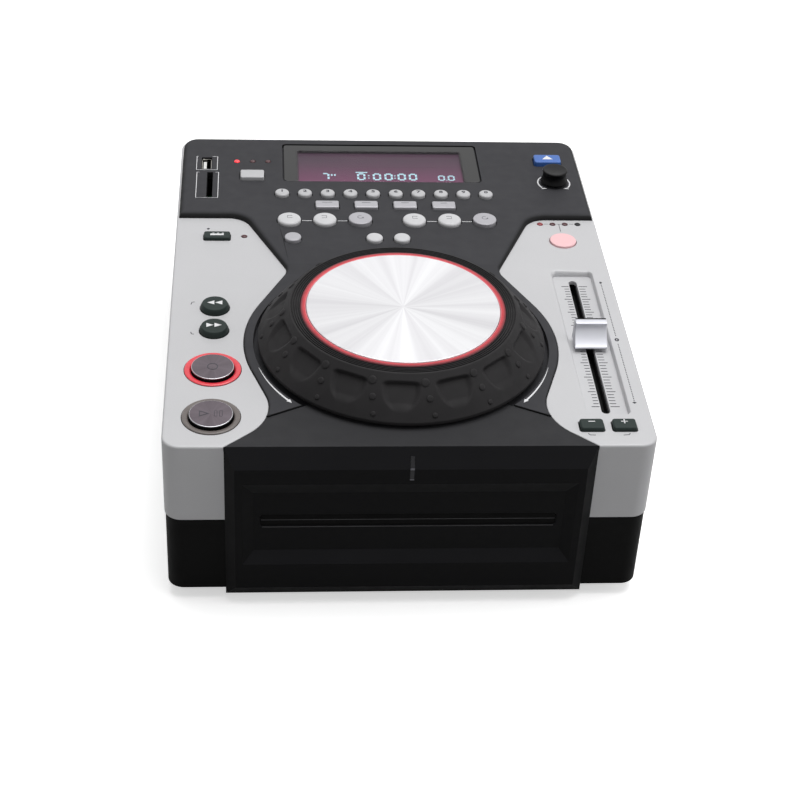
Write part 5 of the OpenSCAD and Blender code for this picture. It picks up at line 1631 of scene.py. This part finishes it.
class PLAYER_OT_console(bpy.types.Operator):
    """Build the black deck and wheel surround"""
    bl_idname = "player.console"
    bl_label = "Console"

    def execute(self, context):
        s = context.scene.player
        console_piece(s.deck_round, s.lip_round)
        socket_pieces()
        return {"FINISHED"}


class PLAYER_OT_bezel(bpy.types.Operator):
    """Build the front moulding with the disc slot"""
    bl_idname = "player.bezel"
    bl_label = "Bezel"

    def execute(self, context):
        bezel_piece()
        return {"FINISHED"}


class PLAYER_OT_wheel(bpy.types.Operator):
    """Build the jog wheel"""
    bl_idname = "player.wheel"
    bl_label = "Wheel"

    def execute(self, context):
        s = context.scene.player
        wheel_pieces(s.dimple_depth, s.wheel_turn)
        return {"FINISHED"}


class PLAYER_OT_keys(bpy.types.Operator):
    """Build every key and button"""
    bl_idname = "player.keys"
    bl_label = "Keys"

    def execute(self, context):
        deck_keys()
        case_keys()
        return {"FINISHED"}


class PLAYER_OT_controls(bpy.types.Operator):
    """Build the slider cap and the selector knob"""
    bl_idname = "player.controls"
    bl_label = "Slider and selector"

    def execute(self, context):
        slider_pieces()
        selector_pieces()
        return {"FINISHED"}


class PLAYER_OT_display(bpy.types.Operator):
    """Build the display and the lamps"""
    bl_idname = "player.display"
    bl_label = "Display and lamps"

    def execute(self, context):
        display_pieces()
        lamp_pieces()
        return {"FINISHED"}


class PLAYER_OT_print(bpy.types.Operator):
    """Lay the printed line work"""
    bl_idname = "player.print"
    bl_label = "Printing"

    def execute(self, context):
        mark_pieces(context.scene.player.print_lift)
        return {"FINISHED"}


class PLAYER_OT_rear(bpy.types.Operator):
    """Build the rear sockets and finish the remaining solids"""
    bl_idname = "player.rear"
    bl_label = "Rear and inner parts"

    def execute(self, context):
        rear_pieces()
        finish_frame()
        return {"FINISHED"}


class PLAYER_OT_stage(bpy.types.Operator):
    """Set up floor, light and camera"""
    bl_idname = "player.stage"
    bl_label = "Stage"

    def execute(self, context):
        s = context.scene.player
        stage_pieces(s.key_power, s.sky)
        return {"FINISHED"}


STEPS = ["materials", "case", "console", "bezel", "wheel", "keys", "controls", "display", "print",
         "rear", "stage"]


class PLAYER_PT_panel(bpy.types.Panel):
    """Sidebar panel with the build steps in order"""
    bl_idname = "PLAYER_PT_panel"
    bl_label = "Player"
    bl_space_type = "VIEW_3D"
    bl_region_type = "UI"
    bl_category = "Player"

    def draw(self, context):
        s = context.scene.player
        for name in PlayerSettings.__annotations__:
            self.layout.prop(s, name)
        for step_name in STEPS:
            self.layout.operator("player." + step_name)


CLASSES = [PlayerSettings, PLAYER_OT_materials, PLAYER_OT_case, PLAYER_OT_console, PLAYER_OT_bezel,
           PLAYER_OT_wheel, PLAYER_OT_keys, PLAYER_OT_controls, PLAYER_OT_display, PLAYER_OT_print,
           PLAYER_OT_rear, PLAYER_OT_stage, PLAYER_PT_panel]


def register():
    for cls in CLASSES:
        bpy.utils.register_class(cls)
    bpy.types.Scene.player = bpy.props.PointerProperty(type=PlayerSettings)


def unregister():
    del bpy.types.Scene.player
    for cls in reversed(CLASSES):
        bpy.utils.unregister_class(cls)


def main():
    register()
    for step_name in STEPS:
        getattr(bpy.ops.player, step_name)()


if __name__ == "__main__":
    main()
